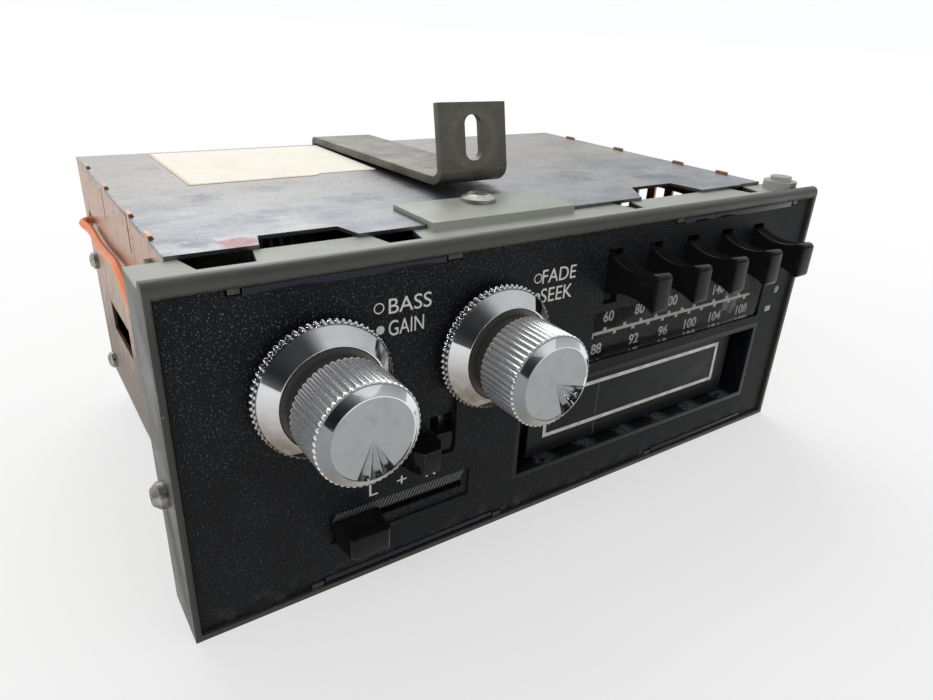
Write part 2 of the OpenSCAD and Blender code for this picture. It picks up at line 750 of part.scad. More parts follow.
// Case of a rotary control with a stepped bore and its row of solder lugs
module rotary_pot(x, r, bore_back) {
    difference() {
        union() {
            rod_y(x, [bushing_back, pot_back], knob_z, r);
            for (k = [-1:1])
                span([x + k * 5 - 0.9, x + k * 5 + 0.9], [bushing_back + 4, bushing_back + 5],
                     [knob_z - r - 4, knob_z - r + 3]);
        }
        rod_y(x, [bushing_back - 1, bushing_back + 6], knob_z, sleeve_r + run_gap);
        rod_y(x, [bushing_back, bore_back], knob_z, shaft_r + run_gap);
    }
}

module volume_pot() {
    color("#8c8f8a") {
        rotary_pot(volume_at, pot_r, pot_back - 1);
        span([volume_at - pot_r - 2.4, volume_at - pot_r + 0.6], [23.2, 24.8],
             [knob_z - 1, knob_z + 1]);
    }
}

module fader_pot() {
    color("#8c8f8a") rotary_pot(tuning_at, fader_pot_r, pot_back + 1);
}

// Fluted knob with a bevelled nose, a dark collar behind and a disc let into the nose
module fluted_knob(x, angle) {
    translate([x, 0, knob_z]) rotate([90, 0, 0]) {
        difference() {
            union() {
                intersection() {
                    translate([0, 0, -knob_back]) linear_extrude(knob_len)
                        grooved_circle(knob_r, flutes, 0.55, 0.45);
                    rotate_extrude() polygon([
                        [0, -knob_back], [knob_r - 0.5, -knob_back], [knob_r + 0.1, 0.6 - knob_back],
                        [knob_r + 0.1, -knob_front - knob_bevel],
                        [knob_r - 0.6, -knob_front - knob_bevel], [disc_r + 0.3, -knob_front],
                        [0, -knob_front]
                    ]);
                }
                translate([0, 0, -collar_back])
                    cylinder(h = collar_back - knob_back + 0.5, r = collar_r);
            }
            translate([0, 0, -knob_front - disc_t]) cylinder(h = disc_t + 1, r = disc_r + held_gap);
            translate([0, 0, -collar_back - 1])
                cylinder(h = collar_back - shaft_front + 1.2, r = shaft_r + held_gap);
        }
        difference() {
            translate([0, 0, -knob_front - disc_t + held_gap])
                cylinder(h = disc_t - held_gap, r = disc_r);
            for (fan = [-16, 0, 16])
                translate([0, 0, -knob_front]) rotate([0, 0, 90 - angle + fan]) rotate([0, 90, 0])
                    cylinder(h = disc_r + 1, r1 = 0.05, r2 = 1.25);
        }
    }
}

module volume_knob() {
    color("#c8cacc") fluted_knob(volume_at, volume_angle);
}

module tuning_knob() {
    color("#c8cacc") fluted_knob(tuning_at, tuning_angle);
}

module volume_shaft() {
    color("#a7a9a6") rod_y(volume_at, [shaft_front, pot_back - 1.2], knob_z, shaft_r);
}

// Hollow outer shaft of a control
module control_sleeve(x) {
    difference() {
        rod_y(x, [sleeve_front, bushing_back + 5.8], knob_z, sleeve_r);
        rod_y(x, [sleeve_front - 1, bushing_back + 7], knob_z, shaft_r + run_gap);
    }
}

module tone_sleeve() {
    color("#b59a5a") control_sleeve(volume_at);
}

module fader_sleeve() {
    color("#b59a5a") control_sleeve(tuning_at);
}

// Dished chrome ring with two rows of knurling round its rim
module knurled_ring(x) {
    translate([x, 0, knob_z]) rotate([90, 0, 0]) difference() {
        union() {
            for (k = [0, 1])
                translate([0, 0, -ring_back + k * (knurl_w + knurl_groove)])
                    linear_extrude(knurl_w) grooved_circle(ring_r, knurls, 0.6, 0.5);
            rotate_extrude() polygon([
                [0, -ring_back], [ring_r - 0.7, -ring_back], [ring_r - 0.7, -ring_face],
                [ring_r - 1.15, -ring_face], [ring_lip_r + 0.3, -ring_front], [ring_lip_r, -ring_front],
                [ring_lip_r, -ring_front - ring_dish], [0, -ring_front - ring_dish]
            ]);
        }
        translate([0, 0, -ring_back - 1])
            cylinder(h = ring_back - ring_front + 2, r = sleeve_r + held_gap);
    }
}

module tone_ring() {
    color("#c2c5c8") knurled_ring(volume_at);
}

module fader_ring() {
    color("#c2c5c8") knurled_ring(tuning_at);
}

// ---- Sliders ----------------------------------------------------------------------------

module balance_slider() {
    color("#151617") {
        difference() {
            plate_xy([balance_z - grip_h / 2, balance_z + grip_h / 2])
                polygon([
                    [balance_x - grip_w / 2 - 1, -0.3], [balance_x + grip_w / 2 + 1, -0.3],
                    [balance_x + grip_w / 2, -grip_reach + 1], [balance_x + grip_w / 2 - 1, -grip_reach],
                    [balance_x - grip_w / 2 + 1, -grip_reach], [balance_x - grip_w / 2, -grip_reach + 1]
                ]);
            rod_x([balance_x - grip_w, balance_x + grip_w], -grip_reach / 2,
                  balance_z + grip_h / 2 + 7.4, 8);
        }
        span([balance_x - balance_stem[0] / 2, balance_x + balance_stem[0] / 2], [-1, 8.5],
             [balance_z - balance_stem[1] / 2, balance_z + balance_stem[1] / 2]);
    }
}

module balance_pot() {
    x = [balance_slot[0] - 4.4, balance_slot[1] + 4.4];
    color("#6d5a3a") difference() {
        union() {
            span(x, pot_slab, [balance_z - 6, balance_z + 6]);
            for (end = [[x[0], x[0] + 4], [x[1] - 4, x[1]]])
                span(end, [panel_t, pot_slab[0]], [balance_z - 4, balance_z + 4]);
        }
        span(balance_slot, [4, 10], [balance_z - 1.2, balance_z + 1.2]);
    }
}

module band_slider() {
    neck = [band_plate[0][0], band_plate[0][0] + 1.2];
    neck_z = [band_head_z[0], band_plate[2][1]];
    color("#151617") {
        plate_xy(band_head_z) polygon(band_head);
        span([band_head[1][0] - 2.4, neck[1]], [-2.4, band_head[0][1]], neck_z);
        span(neck, [-2.4, band_plate[1][0] + 0.4], neck_z);
        plate_xz(band_plate[1]) rounded(band_plate[0], band_plate[2], pad_corner - 0.3);
        span(band_stem, [band_plate[1][1] - 0.2, 9], [31.5, 34.5]);
    }
}

module band_switch() {
    color("#9d9fa0") difference() {
        union() {
            span([pad[0][0] - 1, pad[0][1] + 1], pot_slab, [24, 48]);
            for (z = [[24, 27], [45, 48]]) span(pad[0], [panel_t, pot_slab[0]], z);
        }
        span([band_stem[0] - 0.3, band_stem[1] + 0.3], [4, 10], [31, 35 + band_travel]);
    }
}

// ---- Push buttons -----------------------------------------------------------------------

// Side view of a button blade: full at the root, waisted, and full again at the finger end
module blade_outline() {
    difference() {
        polygon([
            [blade_back, -5.4], [blade_root, -5.8], [-blade_reach + 1, -6], [-blade_reach, -5],
            [-blade_reach, 4.2], [-blade_reach + 1, 5.1], [blade_root, 5.7], [blade_back, 5.3]
        ]);
        for (side = [-1, 1])
            translate([-blade_reach / 2, side * 3.7 + side * 18 - 0.1]) circle(18, $fn = 128);
    }
}

module push_button(index) {
    x = first_button + index * button_pitch;
    color("#0f1011") translate([0, 0, button_z])
        plate_yz([x - blade_t / 2, x + blade_t / 2]) blade_outline();
    color("#aeb1b3") span([x - slide_t / 2, x + slide_t / 2],
                          [blade_back + held_gap, slide_back], slide_z);
}

// ---- Tuner ------------------------------------------------------------------------------

module tuner_frame() {
    y = button_frame[1];
    x = button_frame[0];
    top = button_frame[3];
    ear_x = [base_x[0], base_x[0] + sheet_t];
    color("#b7b9b6") {
        difference() {
            union() {
                span(base_x, [gear_y[0] - 1, base_back], base_z);
                span(x, [y[0], gear_y[0]], base_z);
            }
            span([tuning_at - 10, tuning_at + 10], [gear_y[0] - 2, gear_y[1] + 1],
                 [base_z[0] - 1, base_z[1] + 1]);
        }
        difference() {
            span(x, y, [base_z[0], top]);
            span([x[0] + 4, x[1] - 3], [y[0] - 1, y[1] + 1], [cam_z[0] - 0.4, cam_z[1] + 0.4]);
            for (i = [0:buttons - 1]) button_guide(i, y);
        }
        span(x, [y[0], comb_y[1]], [top - 1.2, top]);
        difference() {
            span(x, comb_y, [slide_z[0] - 0.8, top]);
            for (i = [0:buttons - 1]) button_guide(i, comb_y);
        }
        span([x[0], x[0] + sheet_t], [y[0], gear_y[0] - 0.5], [base_z[0], top]);
        span([x[1] - sheet_t, x[1]], [y[0], gear_y[1] + 4], [base_z[0], top]);
        difference() {
            span(ear_x, [gear_y[0] - 1, gear_y[1] + 8], [base_z[0], rail_z + 3]);
            span([ear_x[0] - 1, ear_x[1] + 1], [gear_y[0] - 2, gear_y[1] + 0.7],
                 [rack_pitch_z - addendum - 0.6, cam_z[1] + 0.5]);
            rod_x([ear_x[0] - 1, ear_x[1] + 1], rail_y, rail_z, rail_r + held_gap);
        }
        difference() {
            span([tuning_at - 6, tuning_at + 6], [gear_y[1] + 1.5, gear_y[1] + 2.7],
                 [base_z[0], cam_z[0] - 1]);
            rod_y(tuning_at, [gear_y[1], gear_y[1] + 4], knob_z, shaft_r + run_gap);
        }
        span([deck_left + 4, wall_in - 6], [gear_y[0] - 1, gear_y[0] + 0.2], [deck_z[1], base_z[0]]);
        for (x = [cam_pin[0] - 10, cam_pin[0] + 66])
            span([x, x + 13], [base_back - 1.2, base_back], [deck_z[1], base_z[0]]);
    }
}

// Slot that guides a push button's steel slide through a plate
module button_guide(index, y) {
    at = first_button + index * button_pitch;
    span([at - slide_t / 2 - 0.2, at + slide_t / 2 + 0.2], [y[0] - 1, y[1] + 1],
         [slide_z[0] - 0.2, slide_z[1] + 0.2]);
}

// One tooth of the rack or the pinion, drawn with its pitch line on the X axis
module tooth(low, high) {
    half = tooth_pitch / 4 - backlash / 2;
    polygon([
        [-half - low * tan(flank), -low], [half + low * tan(flank), -low],
        [half - high * tan(flank), high], [-half + high * tan(flank), high]
    ]);
}

module rack_teeth() {
    first = -floor((pointer_over + 2.2) / tooth_pitch);
    last = ceil(pointer_travel / tooth_pitch) + 1;
    plate_xz([gear_y[0], gear_y[1]])
        for (i = [first:last])
            translate([tuning_at + (i + 0.5) * tooth_pitch, rack_pitch_z]) rotate(180)
                tooth(dedendum + 0.01, addendum);
}

module pinion() {
    inner = pitch_r - dedendum;
    translate([tuning_at, gear_y[1], knob_z]) rotate([90, 0, 0])
        linear_extrude(gear_y[1] - gear_y[0]) difference() {
            union() {
                circle(inner);
                for (i = [0:pinion_teeth - 1])
                    rotate(i * 360 / pinion_teeth) involute_tooth();
            }
            circle(shaft_r + held_gap);
        }
}

// Gear tooth about the +Y axis of its wheel, with involute flanks
module involute_tooth() {
    base_r = pitch_r * cos(flank);
    tip_r = pitch_r + addendum;
    root_r = pitch_r - dedendum - 0.2;
    steps = 6;
    half = 90 / pinion_teeth - backlash / pitch_r * 180 / PI / 2;
    at_pitch = tan(flank) * 180 / PI - flank;
    radii = [for (k = [0:steps]) base_r + (tip_r - base_r) * k / steps];
    angles = [for (r = radii) half + at_pitch - involute(acos(min(1, base_r / r)))];
    right = [for (k = [0:steps]) radii[k] * [sin(angles[k]), cos(angles[k])]];
    foot = root_r * [sin(angles[0]), cos(angles[0])];
    polygon(concat([foot], right, [for (k = [steps:-1:0]) [-right[k][0], right[k][1]]],
                   [[-foot[0], foot[1]]]));
}

function involute(a) = tan(a) * 180 / PI - a;

// Sliding plate: a rack along its front edge and a slanted slot that moves the cores
module cam_plate() {
    strip = [tuning_at - pointer_over - 2.2, cam_span[1]];
    slant = atan(cam_slope);
    color("#c3c1b4") difference() {
        union() {
            span(strip, gear_y, cam_z);
            span(cam_span, [gear_y[0], cam_back], cam_z);
            for (x = rail_lug_x)
                span(x, gear_y, [cam_z[0], rail_z + 2.8]);
            rack_teeth();
        }
        rod_x([cam_span[0], cam_span[1]], rail_y, rail_z, rail_r + run_gap);
        translate([cam_pin[0], cam_pin[1], cam_z[0] - 1]) rotate([0, 0, slant])
            linear_extrude(4)
                rounded([-pointer_over - 2.4, pointer_travel / cos(slant) + 2.4],
                        [-cam_pin_r - run_gap * 2, cam_pin_r + run_gap * 2], cam_pin_r);
        for (x = [cam_pin[0] + 14, cam_pin[0] + 32])
            span([x, x + 12], [cam_pin[1] + core_travel - 5, cam_back - 3], [cam_z[0] - 1, cam_z[1] + 1]);
    }
}

module pointer_rail() {
    color("#b9bcbf") rod_x([base_x[0] - 1, button_frame[0][1] - sheet_t], rail_y, rail_z, rail_r);
}

module core_carriage() {
    y = [cam_pin[1] - 2, cam_pin[1] + 2];
    color("#d2cdbb") {
        span([cam_pin[0] - 4, core_x[2] + 5], y, bar_z);
        rod_z(cam_pin[0], cam_pin[1], [bar_z[1] - 1, cam_z[1] - 0.2], cam_pin_r);
    }
    color("#3a3a3c")
        for (x = core_x) rod_y(x, [y[1] + held_gap, coil_y[0] - 0.4], core_z, core_r);
}

module tuning_coils() {
    color("#a8622f") difference() {
        for (x = core_x) {
            rod_y(x, coil_y, core_z, coil_r);
            rod_y(x, [coil_y[0] + 3, coil_y[1] - 3], core_z, coil_r + 1);
            span([x - 3, x + 3], coil_y, [base_z[1], core_z]);
        }
        for (x = core_x) rod_y(x, [coil_y[0] - 1, coil_y[1] + 1], core_z, core_r + 0.5);
    }
}

// ---- Tape drive -------------------------------------------------------------------------

module deck_plate() {
    color("#b4b7b5") difference() {
        span([deck_left, wall_in], [frame_depth + 0.3, body_back - sheet_t], deck_z);
        rod_z(flywheel_at[0], flywheel_at[1], [deck_z[0] - 1, deck_z[1] + 1], bearing_r - 1);
        span([head_x - 4, head_x + 4], [head_y[1] - 0.6, head_y[1] + 3], [deck_z[0] - 1, deck_z[1] + 1]);
        for (x = [slot_at - 34.75, slot_at + 35.25])
            span([x, x + 16], [52, 74], [deck_z[0] - 1, deck_z[1] + 1]);
    }
}

module capstan_bearing() {
    x = flywheel_at[0];
    y = flywheel_at[1];
    color("#b08d4a") difference() {
        union() {
            rod_z(x, y, [deck_z[0] - 1, flywheel_z[0] - 1], bearing_r - 1 - run_gap);
            rod_z(x, y, [deck_z[1], deck_z[1] + 2], bearing_r + 3);
        }
        rod_z(x, y, [deck_z[0] - 2, flywheel_z[0]], capstan_r + run_gap);
    }
}

module flywheel() {
    x = flywheel_at[0];
    y = flywheel_at[1];
    z = flywheel_z;
    color("#9c9a92") translate([x, y, 0]) rotate_extrude($fn = 96)
        polygon([
            [capstan_r + held_gap, z[0]], [flywheel_r, z[0]], [flywheel_r, groove_z[0]],
            [belt_r - 0.1, groove_z[0] + 0.4], [belt_r - 0.1, groove_z[1] - 0.4],
            [flywheel_r, groove_z[1]], [flywheel_r, z[1]], [flywheel_r - 4, z[1]],
            [flywheel_r - 4, z[1] - 2], [9, z[1] - 2], [9, z[1]], [capstan_r + held_gap, z[1]]
        ]);
    color("#d0d3d5") rod_z(x, y, capstan_z, capstan_r);
}

module motor() {
    x = motor_at[0];
    y = motor_at[1];
    color("#a4a7a9") difference() {
        union() {
            rod_z(x, y, [motor_z[0], motor_z[1] - 1.5], motor_r);
            rod_z(x, y, [motor_z[1] - 1.5, motor_z[1]], motor_r - 1.5);
            rod_z(x, y, [motor_z[1], motor_z[1] + 2], 4);
            rod_z(x, y, [motor_z[0] + 4, motor_z[0] + 7], motor_r + 0.6);
        }
        rod_z(x, y, [motor_z[1] - 10, motor_z[1] + 3], 1.5 + run_gap);
    }
}

module motor_pulley() {
    x = motor_at[0];
    y = motor_at[1];
    color("#b08d4a") {
        rod_z(x, y, [motor_z[1] - 9.5, flywheel_z[1]], 1.5);
        translate([x, y, 0]) rotate_extrude() polygon([
            [0, flywheel_z[0] - 0.5], [pulley_r + 1.2, flywheel_z[0] - 0.5],
            [pulley_r + 1.2, groove_z[0]], [pulley_r - 0.1, groove_z[0] + 0.4],
            [pulley_r - 0.1, groove_z[1] - 0.4], [pulley_r + 1.2, groove_z[1]],
            [pulley_r + 1.2, flywheel_z[1]], [0, flywheel_z[1]]
        ]);
    }
}

// Outline of a loop stretched round the flywheel and the motor pulley, grown outwards
module belt_loop(grow) {
    way = motor_at - flywheel_at;
    dist = norm(way);
    open = acos((belt_r - pulley_r) / dist);
    steps = 36;
    translate(flywheel_at) rotate(atan2(way[1], way[0])) polygon(concat(
        [for (i = [0:steps]) let (a = open + (360 - 2 * open) * i / steps)
            (belt_r + grow) * [cos(a), sin(a)]],
        [for (i = [0:steps]) let (a = -open + 2 * open * i / steps)
            [dist, 0] + (pulley_r + grow) * [cos(a), sin(a)]]
    ));
}

module drive_belt() {
    color("#232323") plate_xy([groove_z[0] + 0.5, groove_z[1] - 0.5]) difference() {
        belt_loop(belt_t);
        belt_loop(0);
    }
}

module head_carriage() {
    stem_x = [head_x - 3, head_x + 3];
    stem_y = [head_y[1], head_y[1] + 2];
    finger_z = cam_centre[1] + cam_low + rest_gap;
    color("#c9cbc9") {
        difference() {
            span([head_x - 10, head_x + 10], head_y, carriage_z);
            for (x = post_x)
                rod_z(x, post_y, [carriage_z[0] - 1, carriage_z[1] + 1], post_r + run_gap);
        }
        span(stem_x, stem_y, [carriage_z[0] + 8, finger_z + 3]);
        span([head_x - 0.6, head_x + 0.6], [wheel_y[0], stem_y[1]], [finger_z, finger_z + 3]);
    }
    color("#d8dadc") intersection() {
        span([head_x - 5, head_x + 5], [head_y[0] - 3.5, head_y[0] - held_gap],
             [carriage_z[0] + 5, carriage_z[0] + 13]);
        rod_z(head_x, head_y[0] + 4, [carriage_z[0], carriage_z[1]], 7.5);
    }
}

// Bracket of the head cam, the two posts that guide the head carriage and the lever's pin
module cam_bracket() {
    y = [wheel_y[0] - 4, wheel_y[0] - 2.8];
    color("#b7b9b6") {
        difference() {
            span([head_x - 6, head_x + 6], y, [deck_z[1], cam_centre[1] + 4]);
            rod_y(head_x, [y[0] - 1, y[1] + 1], cam_centre[1], arbor_r + run_gap);
        }
        span([head_x - 6, head_x + 6], [y[0] - 2.8, y[1]], [deck_z[1], deck_z[1] + 1.2]);
        for (x = post_x) rod_z(x, post_y, [chin_h + sheet_t, deck_z[0]], post_r);
        rod_z(pawl_pivot[0], pawl_pivot[1], [deck_z[1], pawl_z[0] - 0.1], 3);
        rod_z(pawl_pivot[0], pawl_pivot[1], [deck_z[1], pawl_z[1] + 1], pawl_pin_r);
    }
}

// Stepless head cam: its radius grows evenly with the turn, and a ratchet disc drives it
module head_cam() {
    rate = head_lift / cam_turn;
    color("#c3c1b4") {
        translate([head_x, 0, cam_centre[1]]) {
            plate_xz(wheel_y) polygon(concat(
                [for (a = [0:10:cam_turn + 10])
                    (cam_low + rate * min(a, cam_turn)) * [-sin(a), cos(a)]],
                [cam_low * [-sin(345), cos(345)]]
            ));
            plate_xz([wheel_y[1], wheel_y[1] + 1.5])
                polygon([for (i = [0:11], k = [[0, 1], [0.8, 0.8]])
                    ratchet_r * k[1] * [sin((i + k[0]) * 30), cos((i + k[0]) * 30)]]);
        }
        rod_y(head_x, [wheel_y[0] - 4.5, wheel_y[1] + 1.5], cam_centre[1], arbor_r);
    }
}

module solenoid() {
    x = [solenoid_at[0] - solenoid_len / 2, solenoid_at[0] + solenoid_len / 2];
    color("#8f5a2e") difference() {
        union() {
            rod_x(x, solenoid_at[1], solenoid_at[2], solenoid_r);
            for (end = [[x[0], x[0] + 1.2], [x[1] - 1.2, x[1]]])
                span(end, [solenoid_at[1] - solenoid_r - 0.5, solenoid_at[1] + solenoid_r + 0.5],
                     [deck_z[1], solenoid_at[2] + solenoid_r + 0.5]);
        }
        rod_x([x[0] - 1, x[1] - 3], solenoid_at[1], solenoid_at[2], plunger_r + run_gap);
    }
}

module solenoid_plunger() {
    color("#c4c6c8") {
        rod_x([plunger_tip, solenoid_at[0] + solenoid_len / 2 - 6], solenoid_at[1],
              solenoid_at[2], plunger_r);
        rod_x([plunger_tip, plunger_tip + plunger_head[1]], solenoid_at[1], solenoid_at[2],
              plunger_head[0]);
    }
}

// Cranked lever on its own pin: one end behind the plunger's head, one beside the ratchet disc
module pawl_arm() {
    x = pawl_pivot[0];
    y = pawl_pivot[1];
    hook_x = plunger_tip + plunger_head[1] + 0.25;
    hook_y = solenoid_at[1] - plunger_r - 0.4;
    nose_x = head_x - ratchet_r - rest_gap;
    color("#b7b9b6") plate_xy(pawl_z) difference() {
        union() {
            translate(pawl_pivot) circle(3);
            polygon([
                [x - 1.6, y + 2], [x + 1.3, y - 1.5], [hook_x + 2.5, hook_y - 2.3],
                [hook_x + 2.5, hook_y], [hook_x, hook_y], [hook_x, hook_y - 1.4]
            ]);
            polygon([
                [x - 2, y], [x - 2, wheel_y[1] + 0.9], [nose_x, wheel_y[1] + 0.5],
                [nose_x, wheel_y[1] + 1.3], [x + 1.2, y - 1]
            ]);
        }
        translate(pawl_pivot) circle(pawl_pin_r + run_gap);
    }
}

// ---- Electronics ------------------------------------------------------------------------

module main_board() {
    color("#6f5b2c") {
        difference() {
            span(board[0], board[1], board[2]);
            for (at = board_posts)
                rod_z(at[0], at[1], [board[2][0] - 1, board[2][1] + 1], 1.6);
        }
    }
}

// Place on the board, as shares of its width and depth
function on_board(u, v) = [
    board[0][0] + u * (board[0][1] - board[0][0]), board[1][0] + v * (board[1][1] - board[1][0])
];

// Part of a given size on the board, about a place
module board_block(at, size) {
    span([at[0] - size[0] / 2, at[0] + size[0] / 2], [at[1] - size[1] / 2, at[1] + size[1] / 2],
         [board[2][1], board[2][1] + size[2]]);
}

module board_parts() {
    color("#2e4f7a")
        for (can = [[0.233, 0.25, 5, 18], [0.425, 0.25, 5, 18], [0.178, 0.575, 6.5, 22],
                    [0.726, 0.275, 4, 12]]) {
            at = on_board(can[0], can[1]);
            rod_z(at[0], at[1], [board[2][1], board[2][1] + can[3]], can[2]);
        }
    color("#c9c9c4") for (i = [0:3]) board_block(on_board(0.418 + 0.137 * i, 0.719), [7, 7, 10]);
    color("#26272a") for (i = [0:1]) board_block(on_board(0.438 + 0.301 * i, 0.494), [16, 7, 4]);
    color("#b98d55")
        for (i = [0:5]) {
            at = on_board(0.267 + 0.11 * i, 0.875);
            rod_x([at[0] - 2.5, at[0] + 2.5], at[1], board[2][1] + 1.3, 1.2);
        }
}

module heat_sink() {
    back = body_back - sheet_t;
    middle = (sink_x[0] + sink_x[1]) / 2;
    color("#a9abab") {
        span(sink_x, [back - sink_base_t, back], sink_z);
        for (x = [for (i = [0:4]) sink_x[0] + i * 4], side = [0, 1]) {
            at = side == 0 ? x : sink_x[0] + sink_x[1] - x - 1.6;
            span([at, at + 1.6], [back - sink_base_t - fin_len, back - sink_base_t], sink_z);
        }
    }
    color("#8d9092")
        for (z = [sink_z[0] + 16, sink_z[1] - 16]) {
            rod_y(middle, [back - sink_base_t - 1.6, back - sink_base_t - held_gap], z, 11);
            rod_y(middle, [back - sink_base_t - 8, back - sink_base_t - 1.6], z, 9);
        }
}

module rear_sockets() {
    back = body_back - sheet_t;
    color("#c7c9c9") difference() {
        union() {
            rod_y(antenna_at[0], [back - 14, body_back + 4], antenna_at[1], antenna_r + 1.2);
            rod_y(antenna_at[0], [back - 1.2, back], antenna_at[1], antenna_r + 4);
        }
        rod_y(antenna_at[0], [back - 12, body_back + 5], antenna_at[1], antenna_r);
    }
    color("#e5e2d6") difference() {
        union() {
            span([power_at[0] - 9, power_at[0] + 9], [back - 8, body_back + 2],
                 [power_at[1] - 5, power_at[1] + 5]);
            span([power_at[0] - 11, power_at[0] + 11], [back - 1.2, back],
                 [power_at[1] - 7, power_at[1] + 7]);
        }
        span([power_at[0] - 7.6, power_at[0] + 7.6], [back - 6, body_back + 3],
             [power_at[1] - 3.6, power_at[1] + 3.6]);
    }
}

// ---- Body sheet metal -------------------------------------------------------------------

module chassis() {
    back = [body_back - sheet_t, body_back];
    walls_z = [chin_h, shelf_z];
    color("#a07a5c") difference() {
        union() {
            for (x = [[-wall_x, -wall_in], [wall_in, wall_x]]) {
                span(x, [frame_depth, body_back], walls_z);
                for (y = finger_y)
                    span(x, [y - finger_w / 2, y + finger_w / 2], [chin_h, cover_z[1] + 0.8]);
            }
            span([-wall_x, wall_x], back, walls_z);
            for (x = [[-wall_in - 0.1, -wall_in + 7], [wall_in - 7, wall_in + 0.1]])
                span(x, [frame_depth + ear_len + 8, body_back], [shelf_z - sheet_t, shelf_z]);
            rod_x([-wall_x - 0.6, -wall_in], rim_hole[0], rim_hole[1], rim_hole[2] + 1.2);
        }
        rod_x([-wall_x - 2, -wall_in + 1], rim_hole[0], rim_hole[1], rim_hole[2]);
        rod_x([-wall_x - 2, -wall_in + 1], lead_hole[0], lead_hole[1], lead_hole_r);
        rod_x([-wall_x - 2, -wall_in + 1], entry_hole[0], entry_hole[1], lead_hole_r);
        for (y = wall_slits)
            span([-wall_x - 1, -wall_in + 8], [y - 0.6, y + 0.6], [shelf_z - 9, shelf_z + 1]);
        span([-wall_x - 1, -wall_in + 1], left_vent[0], left_vent[1]);
        for (i = [0:8])
            span([wall_in - 1, wall_x + 1], [right_vent[0] + i * 9, right_vent[0] + 5 + i * 9],
                 right_vent[1]);
        for (side = [-1, 1], z = side_screw_z)
            rod_x([side * wall_x - 3, side * wall_x + 3], side_screw_y, z, screw_r + screw_clear);
        rod_y(antenna_at[0], [back[0] - 1, back[1] + 1], antenna_at[1], antenna_r + 1.4);
        span([power_at[0] - 9.2, power_at[0] + 9.2], [back[0] - 1, back[1] + 1],
             [power_at[1] - 5.2, power_at[1] + 5.2]);
        rod_y(strap_x, [back[0] - 1, back[1] + 1], strap_foot_z + strap_bolt[0],
              strap_bolt[1] + screw_clear);
        slot_row([rear_slots[0], rear_slots[0] + 3], [back[0] - 1, back[1] + 1],
                 [rear_slots[1], rear_slots[2]], 8, 7);
    }
}

// Lid over the body; its front edge steps back between three tabs
module top_cover() {
    front = frame_depth;
    color("#8b98a5") difference() {
        plate_xy(cover_z) polygon([
            [-wall_x, front], [20.4 - wall_x, front], [22.4 - wall_x, front + cover_step],
            [42.4 - wall_x, front + cover_step], [44.3 - wall_x, front - 1],
            [wall_x - 62, front - 1], [wall_x - 54, front + cover_scoop],
            [wall_x - 35, front + cover_scoop], [wall_x - 33, front - 1],
            [wall_x - 13, front - 1], [wall_x - 10, front], [wall_x, front],
            [wall_x, body_back], [-wall_x, body_back]
        ]);
        for (side = [-1, 1], y = finger_y)
            span([side * wall_x - sheet_t - 0.3, side * wall_x + sheet_t + 0.3],
                 [y - finger_w / 2 - 0.2, y + finger_w / 2 + 0.2], [cover_z[0] - 1, cover_z[1] + 1]);
        rod_z(tab_screw[0], tab_screw[1], [cover_z[0] - 1, cover_z[1] + 1], screw_r + screw_clear);
    }
}

module bottom_cover() {
    color("#8b98a5") {
        difference() {
            span([-wall_x, wall_x], [frame_depth, body_back], floor_z);
            slot_row([-86, -83], [50, 104], [floor_z[0] - 1, floor_z[1] + 1], 6, 9);
        }
        for (side = [-1, 1]) difference() {
            span([side > 0 ? wall_in - sheet_t : -wall_in, side > 0 ? wall_in : -wall_in + sheet_t],
                 [frame_depth + 3, body_back - sheet_t - 0.2], [chin_h, chin_h + 8]);
            rod_x([side * wall_in - 3, side * wall_in + 3], side_screw_y, side_screw_z[0],
                  screw_r + screw_clear / 2);
        }
    }
    color("#b7b9b6")
        for (at = board_posts) {
            rod_z(at[0], at[1], [chin_h, board[2][0]], 3);
            rod_z(at[0], at[1], [board[2][0], board[2][1] + 1], 1.5);
        }
}

module support_strap() {
    color("#5b5850") difference() {
        plate_yz([strap_x - strap_w / 2, strap_x + strap_w / 2]) bent_strip(strap_path, strap_radii, strap_t);
        plate_xz([40, 56])
            rounded([strap_x - strap_slot_w / 2, strap_x + strap_slot_w / 2],
                    [strap_slot_z - strap_slot_len / 2, strap_slot_z + strap_slot_len / 2],
                    strap_slot_w / 2 - 0.3);
        rod_y(strap_x, [body_back - 1, body_back + strap_t + 1], strap_foot_z + strap_bolt[0],
              strap_bolt[1] + screw_clear);
    }
}

// Pan-head screw pointing along +X from a head at x = 0
module pan_screw(length, head_r, head_h) {
    rotate([0, 90, 0]) cylinder(h = length, r = screw_r);
    difference() {
        union() {
            translate([-head_h / 2, 0, 0]) rotate([0, 90, 0]) cylinder(h = head_h / 2, r = head_r);
            translate([-head_h, 0, 0]) rotate([0, 90, 0])
                cylinder(h = head_h / 2, r1 = head_r * 0.6, r2 = head_r);
        }
        for (turn = [0, 90]) rotate([turn, 0, 0])
            translate([-head_h - 1, -0.4, -head_r * 0.55]) cube([1.8, 0.8, head_r * 1.1]);
    }
}

